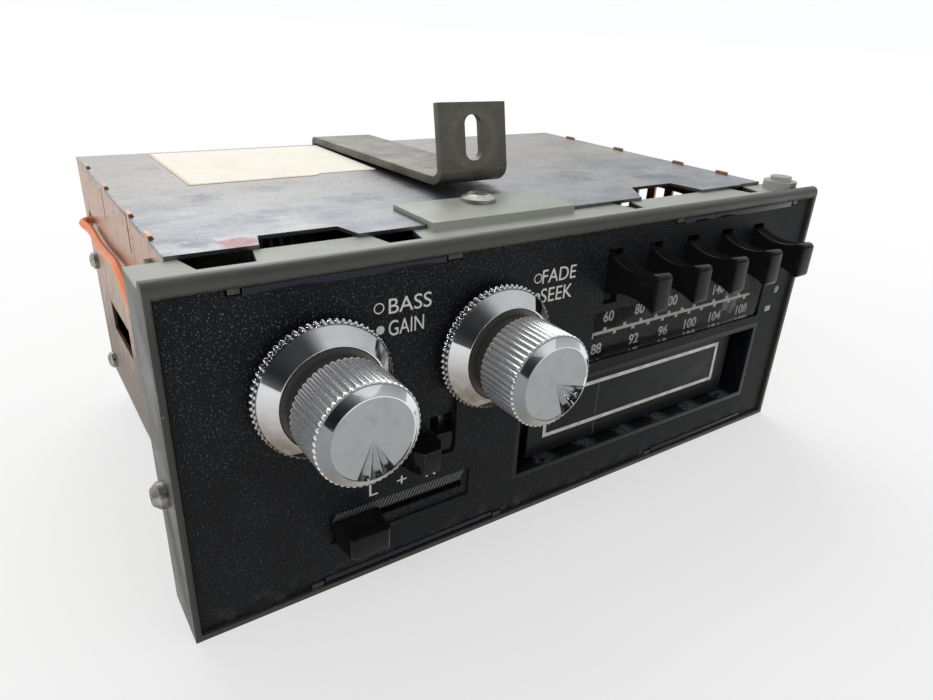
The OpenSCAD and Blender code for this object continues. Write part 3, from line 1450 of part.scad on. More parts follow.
module housing_screws() {
    bolt_z = strap_foot_z + strap_bolt[0];
    color("#b3b6b8") {
        for (side = [-1, 1]) {
            translate([side * face_w / 2, frame_screw[0], frame_screw[1]])
                rotate([0, 0, side > 0 ? 180 : 0]) pan_screw(5.5, 3.2, 3);
            for (z = side_screw_z)
                translate([side * wall_x, side_screw_y, z]) rotate([0, 0, side > 0 ? 180 : 0])
                    pan_screw(5, 3, 2);
        }
        translate([tab_screw[0], tab_screw[1], tab_z[1]]) rotate([0, 90, 0]) pan_screw(5.5, 5, 2.2);
        translate([strap_x, body_back + strap_t, bolt_z]) rotate([-90, 0, 0])
            cylinder(h = 3.6, r = 5.6, $fn = 6);
        rod_y(strap_x, [body_back - 7, body_back + strap_t], bolt_z, strap_bolt[1]);
        difference() {
            translate([strap_x, body_back - sheet_t - 4.5, bolt_z]) rotate([-90, 0, 0])
                cylinder(h = 4.5, r = 5.6, $fn = 6);
            rod_y(strap_x, [body_back - 10, body_back], bolt_z, strap_bolt[1] + run_gap);
        }
    }
}

module paper_label() {
    back = body_back - 3;
    color("#e4dfd0") plate_xy([cover_z[1], cover_z[1] + 0.15])
        polygon([[-80, back - 53], [-40, back - 52.4], [-38, back - 50], [-17.8, back - 50],
                 [-17.8, back], [-80, back]]);
}

// ---- Lead -------------------------------------------------------------------------------

// Points of a smooth curve through the route, a few to each stretch
function curve_point(p, i, t) =
    let (a = p[max(i - 1, 0)], b = p[i], c = p[i + 1], d = p[min(i + 2, len(p) - 1)])
    0.5 * (2 * b + (c - a) * t + (2 * a - 5 * b + 4 * c - d) * t * t
           + (3 * b - a - 3 * c + d) * t * t * t);

// Rings of points round a path, kept square to it and free of twist
function carry(points, i, side) =
    let (way = unit(points[min(i + 1, len(points) - 1)] - points[max(i - 1, 0)]),
         level = unit(side - (side * way) * way))
    concat([[way, level]], i < len(points) - 1 ? carry(points, i + 1, level) : []);

module swept_tube(points, r, sides) {
    frames = carry(points, 0, [1, 0, 0.01]);
    rings = len(points);
    verts = [for (i = [0:rings - 1], k = [0:sides - 1])
        let (u = frames[i][1], v = cross(frames[i][0], u), a = 360 * k / sides)
        points[i] + r * (cos(a) * u + sin(a) * v)];
    walls = [for (i = [0:rings - 2], k = [0:sides - 1], half = [0, 1])
        let (a = i * sides + k, b = i * sides + (k + 1) % sides)
        half == 0 ? [a, b, b + sides] : [a, b + sides, a + sides]];
    caps = [for (k = [1:sides - 2], end = [0, 1])
        let (base = (rings - 1) * sides)
        end == 0 ? [0, k + 1, k] : [base, base + k, base + k + 1]];
    polyhedron(points = verts, faces = concat(walls, caps));
}

module hookup_wire() {
    per = 4;
    last = len(wire_route) - 1;
    path = concat([for (i = [0:last - 1], t = [0:per - 1]) curve_point(wire_route, i, t / per)],
                  [wire_route[last]]);
    color("#d9662a") swept_tube(path, wire_r, 8);
}

module tuning_shaft() {
    color("#a7a9a6") rod_y(tuning_at, [shaft_front, gear_y[1] + 3.2], knob_z, shaft_r);
    color("#b08d4a") pinion();
}

front_frame();
face_panel();
light_strips();
slot_bezel();
door_hinge_pin();
tape_door();
dial_lens();
dial_scale();
dial_lamps();
dial_pointer();
cam_plate();
pointer_rail();
indicator_lenses();
control_bushings();
volume_pot();
fader_pot();
volume_knob();
volume_shaft();
tone_ring();
tone_sleeve();
tuning_knob();
tuning_shaft();
fader_ring();
fader_sleeve();
balance_slider();
balance_pot();
band_slider();
band_switch();
push_button(0);  // push_button_1
push_button(1);  // push_button_2
push_button(2);  // push_button_3
push_button(3);  // push_button_4
push_button(4);  // push_button_5
tuner_frame();
core_carriage();
tuning_coils();
deck_plate();
cartridge_guide();
capstan_bearing();
flywheel();
motor();
motor_pulley();
drive_belt();
head_carriage();
cam_bracket();
head_cam();
solenoid();
solenoid_plunger();
pawl_arm();
main_board();
board_parts();
heat_sink();
chassis();
top_cover();
bottom_cover();
support_strap();
housing_screws();
paper_label();
hookup_wire();
rear_sockets();
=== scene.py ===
"""Finishes, lettering and small pieces of an in-dash radio with a slot for tape cartridges."""

import json
import logging
import math
from collections.abc import Callable, Sequence
from dataclasses import dataclass, field
from enum import Enum

import bmesh
import bpy
from mathutils import Matrix, Vector

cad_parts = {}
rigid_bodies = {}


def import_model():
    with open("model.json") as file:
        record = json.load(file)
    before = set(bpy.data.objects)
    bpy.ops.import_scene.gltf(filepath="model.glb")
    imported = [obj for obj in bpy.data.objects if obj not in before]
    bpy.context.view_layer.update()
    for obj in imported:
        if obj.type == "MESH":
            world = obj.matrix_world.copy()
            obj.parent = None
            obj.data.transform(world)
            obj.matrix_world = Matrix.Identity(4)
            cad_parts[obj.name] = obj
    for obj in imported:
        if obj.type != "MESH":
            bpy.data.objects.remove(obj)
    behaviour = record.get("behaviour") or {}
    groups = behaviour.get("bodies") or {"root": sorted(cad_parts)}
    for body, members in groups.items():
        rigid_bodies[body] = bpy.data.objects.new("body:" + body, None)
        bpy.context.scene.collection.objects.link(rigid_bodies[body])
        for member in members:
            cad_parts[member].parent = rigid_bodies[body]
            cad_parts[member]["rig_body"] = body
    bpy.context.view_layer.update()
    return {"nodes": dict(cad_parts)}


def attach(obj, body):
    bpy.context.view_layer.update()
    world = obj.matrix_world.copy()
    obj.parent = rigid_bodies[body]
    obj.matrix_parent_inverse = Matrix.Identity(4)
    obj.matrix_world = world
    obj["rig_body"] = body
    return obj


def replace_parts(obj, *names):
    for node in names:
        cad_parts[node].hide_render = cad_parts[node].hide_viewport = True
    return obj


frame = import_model()

LOG = logging.getLogger("radio")
MM = 0.001
FLAT_UNDER = math.radians(1.0)
BEVEL_OVER = math.radians(38.0)
SMOOTH_UNDER = math.radians(40.0)
WELD_NODE = 2e-6
WELD_LETTERS = 1e-5
WELD_TURNED = 1e-7

Rgb = tuple[float, float, float]
Xyz = tuple[float, float, float]
Point = tuple[float, float]
Spot = tuple[float, float, float, float, float]


class Body(Enum):
    """Bodies of the frame that new pieces ride on."""

    RADIO = "radio"
    DOOR = "door"


# ---- Shader toolkit -----------------------------------------------------------------------


def maths(operation: str, reflected: bool = False) -> Callable[..., "Sock"]:
    """Makes a method of Sock that adds one Math node.

    Args:
        operation: The Math node's operation.
        reflected: Whether the other value comes before the socket's own.

    Returns:
        The method, which takes the other value, if the operation has one.
    """

    def method(self: "Sock", other: "Sock | float | None" = None) -> "Sock":
        values = [self] if other is None else [self, other]
        if reflected:
            values.reverse()
        return self.board.node("ShaderNodeMath", dict(enumerate(values)), operation=operation)

    return method


class Sock:
    """An output socket of a shader node that takes part in Python arithmetic."""

    def __init__(self, board: "Nodes", socket: bpy.types.NodeSocket) -> None:
        """Keeps the socket and the board it belongs to.

        Args:
            board: The board that holds the socket's node.
            socket: The output socket.
        """
        self.board = board
        self.socket = socket

    __add__, __radd__ = maths("ADD"), maths("ADD", True)
    __sub__, __rsub__ = maths("SUBTRACT"), maths("SUBTRACT", True)
    __mul__, __rmul__ = maths("MULTIPLY"), maths("MULTIPLY", True)
    __truediv__, __pow__, __abs__ = maths("DIVIDE"), maths("POWER"), maths("ABSOLUTE")
    above, below = maths("GREATER_THAN"), maths("LESS_THAN")
    least, most = maths("MINIMUM"), maths("MAXIMUM")
    root, wave = maths("SQRT"), maths("SINE")

    def ramp(self, low: float, high: float) -> "Sock":
        """Runs smoothly from 0 at low to 1 at high; low may be the larger one.

        Args:
            low: Value that gives 0.
            high: Value that gives 1.

        Returns:
            The ramped value.
        """
        inputs = {0: self, 1: low, 2: high, 3: 0.0, 4: 1.0}
        if low > high:
            inputs = {0: self, 1: high, 2: low, 3: 1.0, 4: 0.0}
        return self.board.node("ShaderNodeMapRange", inputs, interpolation_type="SMOOTHSTEP")


class Nodes:
    """The node tree of a material or of the world."""

    def __init__(self, owner: bpy.types.Material | bpy.types.World) -> None:
        """Empties the owner's node tree.

        Args:
            owner: The material or world.
        """
        owner.use_nodes = True
        self.tree = owner.node_tree
        self.tree.nodes.clear()

    def node(
        self,
        kind: str,
        inputs: dict[int | str, object],
        output: int | str = 0,
        stops: Sequence[tuple[float, Rgb]] = (),
        **settings: object,
    ) -> Sock:
        """Adds any node.

        Args:
            kind: The node's type.
            inputs: Values or links of its sockets, by index or name.
            output: Which output to hand back.
            stops: Positions and colours of a colour ramp.
            settings: The node's own settings, which are set first.

        Returns:
            The chosen output.
        """
        made = self.tree.nodes.new(kind)
        for key, value in settings.items():
            setattr(made, key, value)
        if stops:
            elements = made.color_ramp.elements
            while len(elements) < len(stops):
                elements.new(1.0)
            for element, (position, colour) in zip(elements, stops):
                element.position = position
                element.color = (*colour, 1.0)
        for key, value in inputs.items():
            if isinstance(value, Sock):
                self.tree.links.new(value.socket, made.inputs[key])
            elif isinstance(value, tuple) and len(made.inputs[key].default_value) == 4:
                made.inputs[key].default_value = (*value, 1.0)
            else:
                made.inputs[key].default_value = value
        return Sock(self, made.outputs[output])

    def axes(self, place: Sock) -> tuple[Sock, ...]:
        """Splits a vector into its X, Y and Z."""
        return tuple(self.node("ShaderNodeSeparateXYZ", {0: place}, axis) for axis in "XYZ")

    def ray(self, kind: str) -> Sock:
        """One for rays of a kind, such as Camera, and zero for others."""
        return self.node("ShaderNodeLightPath", {}, f"Is {kind} Ray")

    def close(self, shader: Sock, kind: str = "Material") -> None:
        """Links the shader to the output of a material or world.

        Args:
            shader: The finished shader.
            kind: Material or World.
        """
        end = self.tree.nodes.new(f"ShaderNodeOutput{kind}")
        self.tree.links.new(shader.socket, end.inputs["Surface"])


class Board(Nodes):
    """The node tree of one material, with the few textures that the finishes share."""

    def __init__(self, name: str) -> None:
        """Makes an empty material.

        Args:
            name: The material's name.
        """
        self.material = bpy.data.materials.new(name)
        super().__init__(self.material)
        self.place = self.node("ShaderNodeTexCoord", {}, "Object")
        self.x, self.y, self.z = (axis / MM for axis in self.axes(self.place))

    def layers(self, base: Sock | Rgb, *coats: tuple[Sock | float, Sock | Rgb]) -> Sock:
        """Lays colours over one another.

        Args:
            base: The colour underneath.
            coats: The share, from 0 to 1, and the colour of each coat in turn.

        Returns:
            The colour on top.
        """
        for share, colour in coats:
            base = self.node("ShaderNodeMix", {0: share, 6: base, 7: colour}, 2, data_type="RGBA")
        return base

    def noise(
        self,
        grain: float,
        detail: float = 3.0,
        roughness: float = 0.55,
        stretch: Xyz = (1.0, 1.0, 1.0),
        offset: Xyz = (0.0, 0.0, 0.0),
        warp: float = 0.0,
    ) -> Sock:
        """Cloudy noise on the object's own coordinates.

        Args:
            grain: Size of its features in millimetres.
            detail: Number of finer octaves.
            roughness: Strength of the finer octaves.
            stretch: How much longer features are along each axis.
            offset: Shift in millimetres, so that two noises differ.
            warp: Distortion.

        Returns:
            A value from 0 to 1 that centres on 0.5.
        """
        shift = tuple(v / grain for v in offset)
        scale = tuple(1.0 / (grain * MM * s) for s in stretch)
        moved = self.node(
            "ShaderNodeMapping", {"Vector": self.place, "Location": shift, "Scale": scale}
        )
        inputs = {"Vector": moved, "Scale": 1.0, "Detail": detail, "Roughness": roughness}
        return self.node("ShaderNodeTexNoise", {**inputs, "Distortion": warp})

    def specks(self, spacing: float, size: float, share: float) -> Sock:
        """Scattered round specks.

        Args:
            spacing: Mean distance between places in millimetres.
            size: Radius of a speck in millimetres.
            share: Share of the places that hold a speck.

        Returns:
            A mask of the specks.
        """
        cells = {"Vector": self.place, "Scale": 1.0 / (spacing * MM)}
        distance = self.node("ShaderNodeTexVoronoi", cells, "Distance")
        chance = self.node("ShaderNodeTexVoronoi", cells, "Color")
        lot = self.node("ShaderNodeSeparateColor", {0: chance})
        return distance.ramp(size / spacing, size / spacing * 0.5) * lot.above(1.0 - share)

    def distance_to(self, x: float, z: float) -> Sock:
        """Distance in millimetres from an axis along Y through x and z."""
        return ((self.x - x) ** 2 + (self.z - z) ** 2).root()

    def blots(self, spots: Sequence[Spot], ragged: float) -> Sock:
        """Soft round blots on a level sheet, for ink stains and painted reflections.

        Args:
            spots: X, Y, half the width, half the depth and the strength of each blot.
            ragged: How far noise eats into their rims.

        Returns:
            The blots' mask.
        """
        stains = []
        for x, y, long, deep, strength in spots:
            far = (((self.x - x) / long) ** 2 + ((self.y - y) / deep) ** 2).root()
            wear_and_reflection = far + (self.noise(long * 0.7, 4) - 0.5) * ragged
            stains.append(wear_and_reflection.ramp(1.15, 0.55) * strength)
        whole = stains[0]
        for stain_and_reflection in stains[1:]:
            whole = whole.most(stain_and_reflection)
        return whole

    def round_edges(self, radius: float) -> Sock:
        """Normal that is rounded over sharp edges, by a radius in millimetres."""
        return self.node("ShaderNodeBevel", {"Radius": radius * MM}, samples=4)

    def edge_mask(self, radius: float) -> Sock:
        """Mask of the object's sharp edges, out to a radius in millimetres."""
        flat = self.node("ShaderNodeNewGeometry", {}, "Normal")
        inputs = {0: self.round_edges(radius), 1: flat}
        alike = self.node("ShaderNodeVectorMath", inputs, "Value", operation="DOT_PRODUCT")
        return (1.0 - alike).ramp(0.02, 0.16)

    def surface(
        self,
        colour: Sock,
        rough: Sock | float,
        height: Sock,
        depth: float,
        edge: float = 0.0,
        **more: object,
    ) -> Sock:
        """Adds the Principled shader over a bumped surface.

        Args:
            colour: Base colour.
            rough: Roughness.
            height: Height of the bumps, from 0 to 1.
            depth: Depth of the full height in millimetres.
            edge: Rounding of the sharp edges in millimetres, or 0 for none.
            more: The shader's other sockets, with underscores for spaces.

        Returns:
            The shader.
        """
        bump = {"Height": height, "Distance": depth * MM}
        if edge:
            bump["Normal"] = self.round_edges(edge)
        named = {key.replace("_", " "): value for key, value in more.items()}
        named.update({"Base Color": colour, "Roughness": rough})
        named["Normal"] = self.node("ShaderNodeBump", bump)
        return self.node("ShaderNodeBsdfPrincipled", named)


def dimmed(colour: Rgb, share: float) -> Rgb:
    """A darker colour of the same hue."""
    return tuple(part * share for part in colour)


# ---- Finishes -----------------------------------------------------------------------------


@dataclass(frozen=True)
class Finish:
    """A finish that builds one material."""

    name: str

    def paint(self, board: Board) -> Sock:
        """Builds the shader on a board and returns it."""
        raise NotImplementedError

    def build(self) -> bpy.types.Material:
        """Makes the material."""
        board = Board(self.name)
        board.close(self.paint(board))
        return board.material


@dataclass(frozen=True)
class Metal(Finish):
    """Bare, plated or tarnished metal with patches and a fine grain."""

    colour: Rgb = (0.55, 0.56, 0.55)
    tarnish: Rgb = (0.30, 0.29, 0.26)
    roughness: float = 0.34
    spread: float = 0.22
    patch: float = 9.0
    share: float = 0.55
    grain: float = 0.35
    stretch: Xyz = (1.0, 1.0, 1.0)
    depth: float = 0.006
    edge: float = 0.12
    metallic: float = 1.0

    def paint(self, board: Board) -> Sock:
        """Mottles the colour and roughness, and grains the surface."""
        patches = board.noise(self.patch, 5, 0.62).ramp(0.36, 0.68)
        grain = board.noise(self.grain, 2, 0.6, self.stretch)
        shade = board.layers(
            self.colour,
            (patches * self.share, self.tarnish),
            (grain.ramp(0.52, 0.78) * 0.3, dimmed(self.colour, 0.62)),
        )
        rough = self.roughness + (patches - 0.4) * self.spread + (grain - 0.5) * 0.18
        rough = rough.most(0.08)
        return board.surface(shade, rough, grain, self.depth, self.edge, Metallic=self.metallic)


@dataclass(frozen=True)
class Plastic(Finish):
    """Moulded plastic with a grain, dust, smudges and pale rubbed edges."""

    colour: Rgb = (0.012, 0.012, 0.013)
    wear_and_reflection: Rgb = (0.20, 0.19, 0.18)
    wear: float = 0.0
    roughness: float = 0.3
    spread: float = 0.2
    grain: float = 0.25
    depth: float = 0.004
    dust: float = 0.12
    edge: float = 0.2
    specular: float = 0.28

    def paint(self, board: Board) -> Sock:
        """Lays dust and wear over the moulded colour."""
        smudge = board.noise(7.0, 5, 0.65).ramp(0.35, 0.7)
        lint = board.specks(1.9, 0.11, 0.35)
        film = board.noise(2.2, 6, 0.75).ramp(0.5, 0.85)
        shade = board.layers(
            self.colour,
            (film * (self.dust * 0.45), (0.30, 0.27, 0.23)),
            (lint * self.dust * 2.2, (0.55, 0.53, 0.50)),
        )
        if self.wear:
            rubbed = board.edge_mask(0.30) * board.noise(0.8, 4, 0.7).ramp(0.40, 0.62)
            shade = board.layers(shade, (rubbed * self.wear, self.wear_and_reflection))
        rough = (self.roughness + (smudge - 0.4) * self.spread + lint * 0.3).most(0.05)
        height = board.noise(self.grain, 2)
        specular = {"Specular_IOR_Level": self.specular}
        return board.surface(shade, rough, height, self.depth, self.edge, **specular)


@dataclass(frozen=True)
class FramePaint(Finish):
    """Sage paint on the die-cast frame, dirty along its lip and chipped on its edges, with painted
    light on its top and painted shade down its front.
    """

    colour: Rgb = (0.036, 0.037, 0.031)
    faded: Rgb = (0.060, 0.059, 0.050)
    # Painted light: a much lighter copy of the paint for the lit top behind the bead.
    painted_light_shelf: Rgb = (0.34, 0.355, 0.31)
    # Painted shade: a darker copy of the paint down the front rim.
    rim: Rgb = (0.016, 0.0155, 0.013)
    dirt: Rgb = (0.022, 0.017, 0.011)
    bare: Rgb = (0.36, 0.36, 0.34)
    half_width: float = 108.5
    middle: float = 44.2
    half_height: float = 42.4
    # Heights over which the painted shade on the front rim sets in.
    painted_shade_z: Point = (86.0, 78.0)
    bead_back: float = 3.0
    top: float = 87.7

    def paint(self, board: Board) -> Sock:
        """Paints, fades, soils and chips the frame, and paints light on its top and shade down its
        front.
        """
        cloud = board.noise(14.0, 5, 0.6).ramp(0.3, 0.72)
        fine = board.noise(0.6, 4, 0.7)
        level = board.z.above(self.top)
        back = self.bead_back
        on_shelf = board.y.ramp(back, back + 0.4) * level
        over_z = abs(board.z - self.middle) - self.half_height
        inward = (abs(board.x) - self.half_width).most(over_z)
        front = board.y.below(0.9) * inward.above(-0.35)
        ragged = inward + (board.noise(1.3, 5, 0.75, offset=(7, 3, 1)) - 0.5) * 1.3
        grime = ragged.ramp(0.55, 0.0) * front
        streak = board.noise(2.4, 6, 0.8, (3.5, 1.0, 1.0)).ramp(0.60, 0.78)
        seam = board.y.ramp(back - 0.4, back) * board.y.ramp(back + 1.1, back + 0.5) * level
        dusty = board.noise(6.0, 6, 0.7, offset=(3, 8, 2)).ramp(0.45, 0.75) * on_shelf
        chips = board.edge_mask(0.30) * board.noise(1.1, 5, 0.8, offset=(2, 9, 4)).ramp(0.52, 0.66)
        shade = board.layers(
            self.colour,
            (cloud * 0.6, self.faded),
            # Painted shade down the front rim, then painted light on the top behind the bead.
            (board.z.ramp(*self.painted_shade_z) * 0.8, self.rim),
            (on_shelf * 0.85, self.painted_light_shelf),
            (fine.ramp(0.6, 0.8) * 0.35, dimmed(self.colour, 0.6)),
            (grime * 0.85, self.dirt),
            (streak * 0.45, self.dirt),
            (seam * fine.ramp(0.35, 0.55) * 0.75, self.dirt),
            (dusty * 0.45, (0.36, 0.33, 0.26)),
            (board.specks(2.6, 0.22, 0.22) * 0.6, (0.42, 0.42, 0.38)),
            (chips * 0.8, self.bare),
        )
        rough = 0.44 + (cloud - 0.5) * 0.16 + grime * 0.3 - chips * 0.1
        height = fine * 0.6 + board.noise(0.22, 2) * 0.4
        return board.surface(shade, rough, height, 0.012, 0.3, Metallic=chips * 0.7)


@dataclass(frozen=True)
class PanelFinish(Finish):
    """Black face with a fine wrinkle, dust in it, rubbed places and painted glints, strongest
    towards the upper left.
    """

    colour: Rgb = (0.0046, 0.0049, 0.0056)
    haze: Rgb = (0.013, 0.014, 0.016)
    # Colour of the painted glints.
    painted_glint: Rgb = (0.15, 0.16, 0.18)
    dust: Rgb = (0.34, 0.32, 0.28)
    # Zone towards the upper left where a painted sheen makes the glints strongest.
    painted_sheen_x: Point = (60.0, -90.0)
    painted_sheen_z: Point = (30.0, 85.0)
    foot_z: Point = (9.0, 2.0)

    def paint(self, board: Board) -> Sock:
        """Wrinkles, hazes and dusts the panel, and paints glints and sheen on it."""
        wrinkle = board.noise(0.42, 3, 0.6, warp=0.6)
        haze = board.noise(26.0, 5, 0.6).ramp(0.38, 0.74)
        scuff = board.noise(3.0, 6, 0.8, (2.5, 1.0, 1.0), warp=0.4).ramp(0.64, 0.8)
        lint = board.specks(3.4, 0.17, 0.4) + board.specks(9.0, 0.30, 0.3)
        # Painted highlight: glinting specks over the wrinkle, made stronger towards the upper left
        # by a painted sheen.
        painted_sparkle = board.noise(0.45, 2, 0.7, offset=(5, 5, 5)).ramp(0.58, 0.70)
        upper = board.x.ramp(*self.painted_sheen_x) * board.z.ramp(*self.painted_sheen_z)
        low = board.z.ramp(*self.foot_z) * board.noise(5.0, 5, 0.7).ramp(0.45, 0.7)
        shade = board.layers(
            self.colour,
            (haze * 0.5, self.haze),
            (wrinkle.ramp(0.50, 0.72) * 0.75, self.haze),
            (painted_sparkle * (0.30 + haze * 0.3 + upper * 0.5), self.painted_glint),
            (scuff * 0.10, self.dust),
            (lint * 0.45, self.dust),
            (low * 0.12, self.dust),
        )
        rough = 0.46 + (haze - 0.5) * 0.12 + scuff * 0.15
        return board.surface(shade, rough, wrinkle, 0.09, 0.25, Specular_IOR_Level=0.11)


@dataclass(frozen=True)
class KnobChrome(Finish):
    """Chromed knob: a dark collar behind, dirt and painted shade in the flutes, painted
    reflections on its lip and a spun disc in the nose.
    """

    axis_x: float = 0.0
    axis_z: float = 60.0
    rim: float = 12.1
    disc: float = 9.3
    disc_front: float = -26.2
    collar: float = -11.88
    barrel: Point = (-12.1, -24.9)

    def paint(self, board: Board) -> Sock:
        """Plates the knob, gives its collar and disc their own surfaces, and paints shade in its
        flutes and reflections on its lip.
        """
        radius = board.distance_to(self.axis_x, self.axis_z)
        on_disc = radius.below(self.disc) * board.y.below(self.disc_front + 1.3)
        in_fan = on_disc * board.y.ramp(self.disc_front + 0.04, self.disc_front + 0.30)
        on_collar = board.y.above(self.collar)
        smear = board.noise(3.5, 5, 0.7).ramp(0.45, 0.75)
        tarnish = board.noise(1.1, 6, 0.8, offset=(4, 4, 4)).ramp(0.55, 0.75)
        back, front = self.barrel
        barrel = board.y.above(front) * board.y.below(back)
        # Dirt and painted shade in the valleys between the flutes.
        valley = radius.ramp(self.rim - 0.20, self.rim - 0.50) * barrel
        # Painted reflections on the lip: dark navy on its left side, warm brown on its lower side.
        bevel = board.y.below(front) * radius.above(self.disc)
        left = board.x.ramp(self.axis_x - 4.0, self.axis_x - 9.0)
        low = board.z.ramp(self.axis_z - 1.0, self.axis_z - 8.0)
        spun = board.layers(
            (0.37, 0.385, 0.385),
            (smear * 0.5, (0.28, 0.29, 0.288)),
            (board.specks(1.5, 0.07, 0.4) * 0.5, (0.20, 0.19, 0.17)),
            (in_fan * 0.35, (0.16, 0.18, 0.20)),
        )
        brown = board.layers((0.055, 0.048, 0.036), (tarnish, (0.12, 0.105, 0.08)))
        shade = board.layers(
            (0.80, 0.82, 0.84),
            (smear * 0.25, (0.58, 0.58, 0.57)),
            (valley * (0.75 + tarnish * 0.25), (0.12, 0.105, 0.08)),
            (tarnish * 0.28, (0.30, 0.27, 0.22)),
            (bevel * left * 0.75, (0.07, 0.085, 0.11)),
            (bevel * low * (0.85 - smear * 0.3), (0.26, 0.23, 0.19)),
            (on_disc, spun),
            (on_collar, brown),
        )
        rough = 0.05 + smear * 0.08 + tarnish * 0.12 + barrel * 0.12 + valley * 0.2
        rough = rough * (1.0 - on_disc) + on_disc * (0.20 + smear * 0.08)
        rough = rough * (1.0 - on_collar) + on_collar * 0.45
        plated = 1.0 - on_collar * 0.5 - barrel * 0.22 - valley * 0.25
        return board.surface(shade, rough, tarnish * 0.25 + 0.3, 0.010, 0.10, Metallic=plated)


@dataclass(frozen=True)
class RingChrome(Finish):
    """Chromed ring with dirt between the knurls, scratches on its cone, a painted reflection on
    the cone's lower side and a painted shadow in the dish inside its lip.
    """

    axis_x: float = 0.0
    axis_z: float = 60.0
    rim: float = 16.9
    band_front: float = -4.55
    lip: float = 12.4
    dish: float = -7.9

    def paint(self, board: Board) -> Sock:
        """Plates the ring, soils the valleys between its knurls, and paints a reflection on its
        lower cone and a shadow in its dish.
        """
        radius = board.distance_to(self.axis_x, self.axis_z)
        valley = board.y.above(self.band_front) * radius.ramp(self.rim - 0.15, self.rim - 0.50)
        # Painted shadow: the dish inside the lip is painted dark where the knob's collar shades
        # it.
        inside = radius.below(self.lip) * board.y.above(self.dish - 0.1)
        scratch = board.noise(0.7, 4, 0.7, (1.0, 1.0, 9.0), warp=1.0).ramp(0.66, 0.76)
        smear = board.noise(4.0, 5, 0.7).ramp(0.42, 0.75)
        pits = board.noise(0.9, 6, 0.85, offset=(9, 1, 5)).ramp(0.60, 0.74)
        # Painted reflection: the cone turns darker and warm brown towards its lower side.
        lower = board.z.ramp(self.axis_z + 9.0, self.axis_z - 12.0)
        shade = board.layers(
            (0.72, 0.74, 0.76),
            (smear * 0.30, (0.50, 0.50, 0.50)),
            (lower * (0.98 - smear * 0.40), (0.23, 0.185, 0.135)),
            (pits * 0.45, (0.20, 0.17, 0.12)),
            (valley * 0.75, (0.060, 0.050, 0.036)),
            (scratch * 0.2, (0.88, 0.86, 0.80)),
            (inside * 0.85, (0.06, 0.052, 0.04)),
        )
        rough = 0.05 + smear * 0.08 + pits * 0.25 + scratch * 0.1 + inside * 0.35
        plated = 1.0 - inside * 0.4
        return board.surface(shade, rough, 0.5 - pits * 0.2, 0.006, 0.12, Metallic=plated)


@dataclass(frozen=True)
class CoverSheet(Finish):
    """Zinc-plated lid: cloudy plating, painted dark bluish reflections, wiped smears and spots of
    red ink.
    """

    colour: Rgb = (0.26, 0.265, 0.27)
    cloud: Rgb = (0.125, 0.140, 0.160)
    warm: Rgb = (0.27, 0.240, 0.205)
    # Colour of the painted dark bluish reflections.
    painted_reflection_blue: Rgb = (0.055, 0.075, 0.105)
    ink: Rgb = (0.165, 0.030, 0.045)
    # Places of the painted dark bluish reflections.
    painted_reflection_spots: tuple[Spot, ...] = (
        (-93.0, 23.5, 5.0, 4.0, 1.0),
        (-71.0, 42.0, 11.0, 6.0, 1.0),
        (-43.0, 49.0, 9.0, 6.0, 1.0),
        (-61.0, 69.0, 7.0, 4.5, 1.0),
        (-81.0, 65.0, 6.0, 6.0, 1.0),
        (44.0, 52.0, 10.0, 8.0, 1.0),
        (70.0, 38.0, 9.0, 5.0, 1.0),
    )
    ink_spots: tuple[Spot, ...] = (
        (-85.0, 20.5, 5.0, 4.0, 0.8),
        (-66.0, 71.8, 5.0, 2.6, 0.3),
        (-85.0, 110.5, 5.0, 5.0, 0.3),
    )
    warm_y: Point = (30.0, 95.0)

    def paint(self, board: Board) -> Sock:
        """Clouds and wipes the sheet, paints dark bluish reflections on it and spots it with ink.
        """
        cloud = board.noise(16.0, 5, 0.62, (1.6, 1.0, 1.0)).ramp(0.34, 0.68)
        spangle = board.noise(1.5, 5, 0.75).ramp(0.35, 0.7)
        streak = board.noise(2.0, 5, 0.7, (9.0, 1.0, 1.0), warp=0.3).ramp(0.5, 0.75)
        # Painted reflection: dark bluish patches on the lid.
        stain_and_reflection = board.blots(self.painted_reflection_spots, 2.2)
        speckled = board.noise(3.2, 6, 0.8, (2.2, 1.0, 1.0)).ramp(0.34, 0.66)
        specks = board.specks(2.2, 0.13, 0.3) + board.specks(5.0, 0.25, 0.25)
        shade = board.layers(
            self.colour,
            (cloud, self.cloud),
            (board.y.ramp(*self.warm_y) * 0.6, self.warm),
            (spangle * 0.30, dimmed(self.cloud, 0.6)),
            (streak * 0.16, (0.62, 0.62, 0.60)),
            (stain_and_reflection * speckled * 0.62, self.painted_reflection_blue),
            (board.blots(self.ink_spots, 0.9), self.ink),
            (specks * 0.5, (0.50, 0.49, 0.46)),
        )
        rough = 0.22 + cloud * 0.12 + spangle * 0.09 + streak * 0.06 + stain_and_reflection * 0.08 + specks * 0.2
        return board.surface(shade, rough, spangle * 0.5 + cloud * 0.5, 0.018, 0.2, Metallic=0.92)


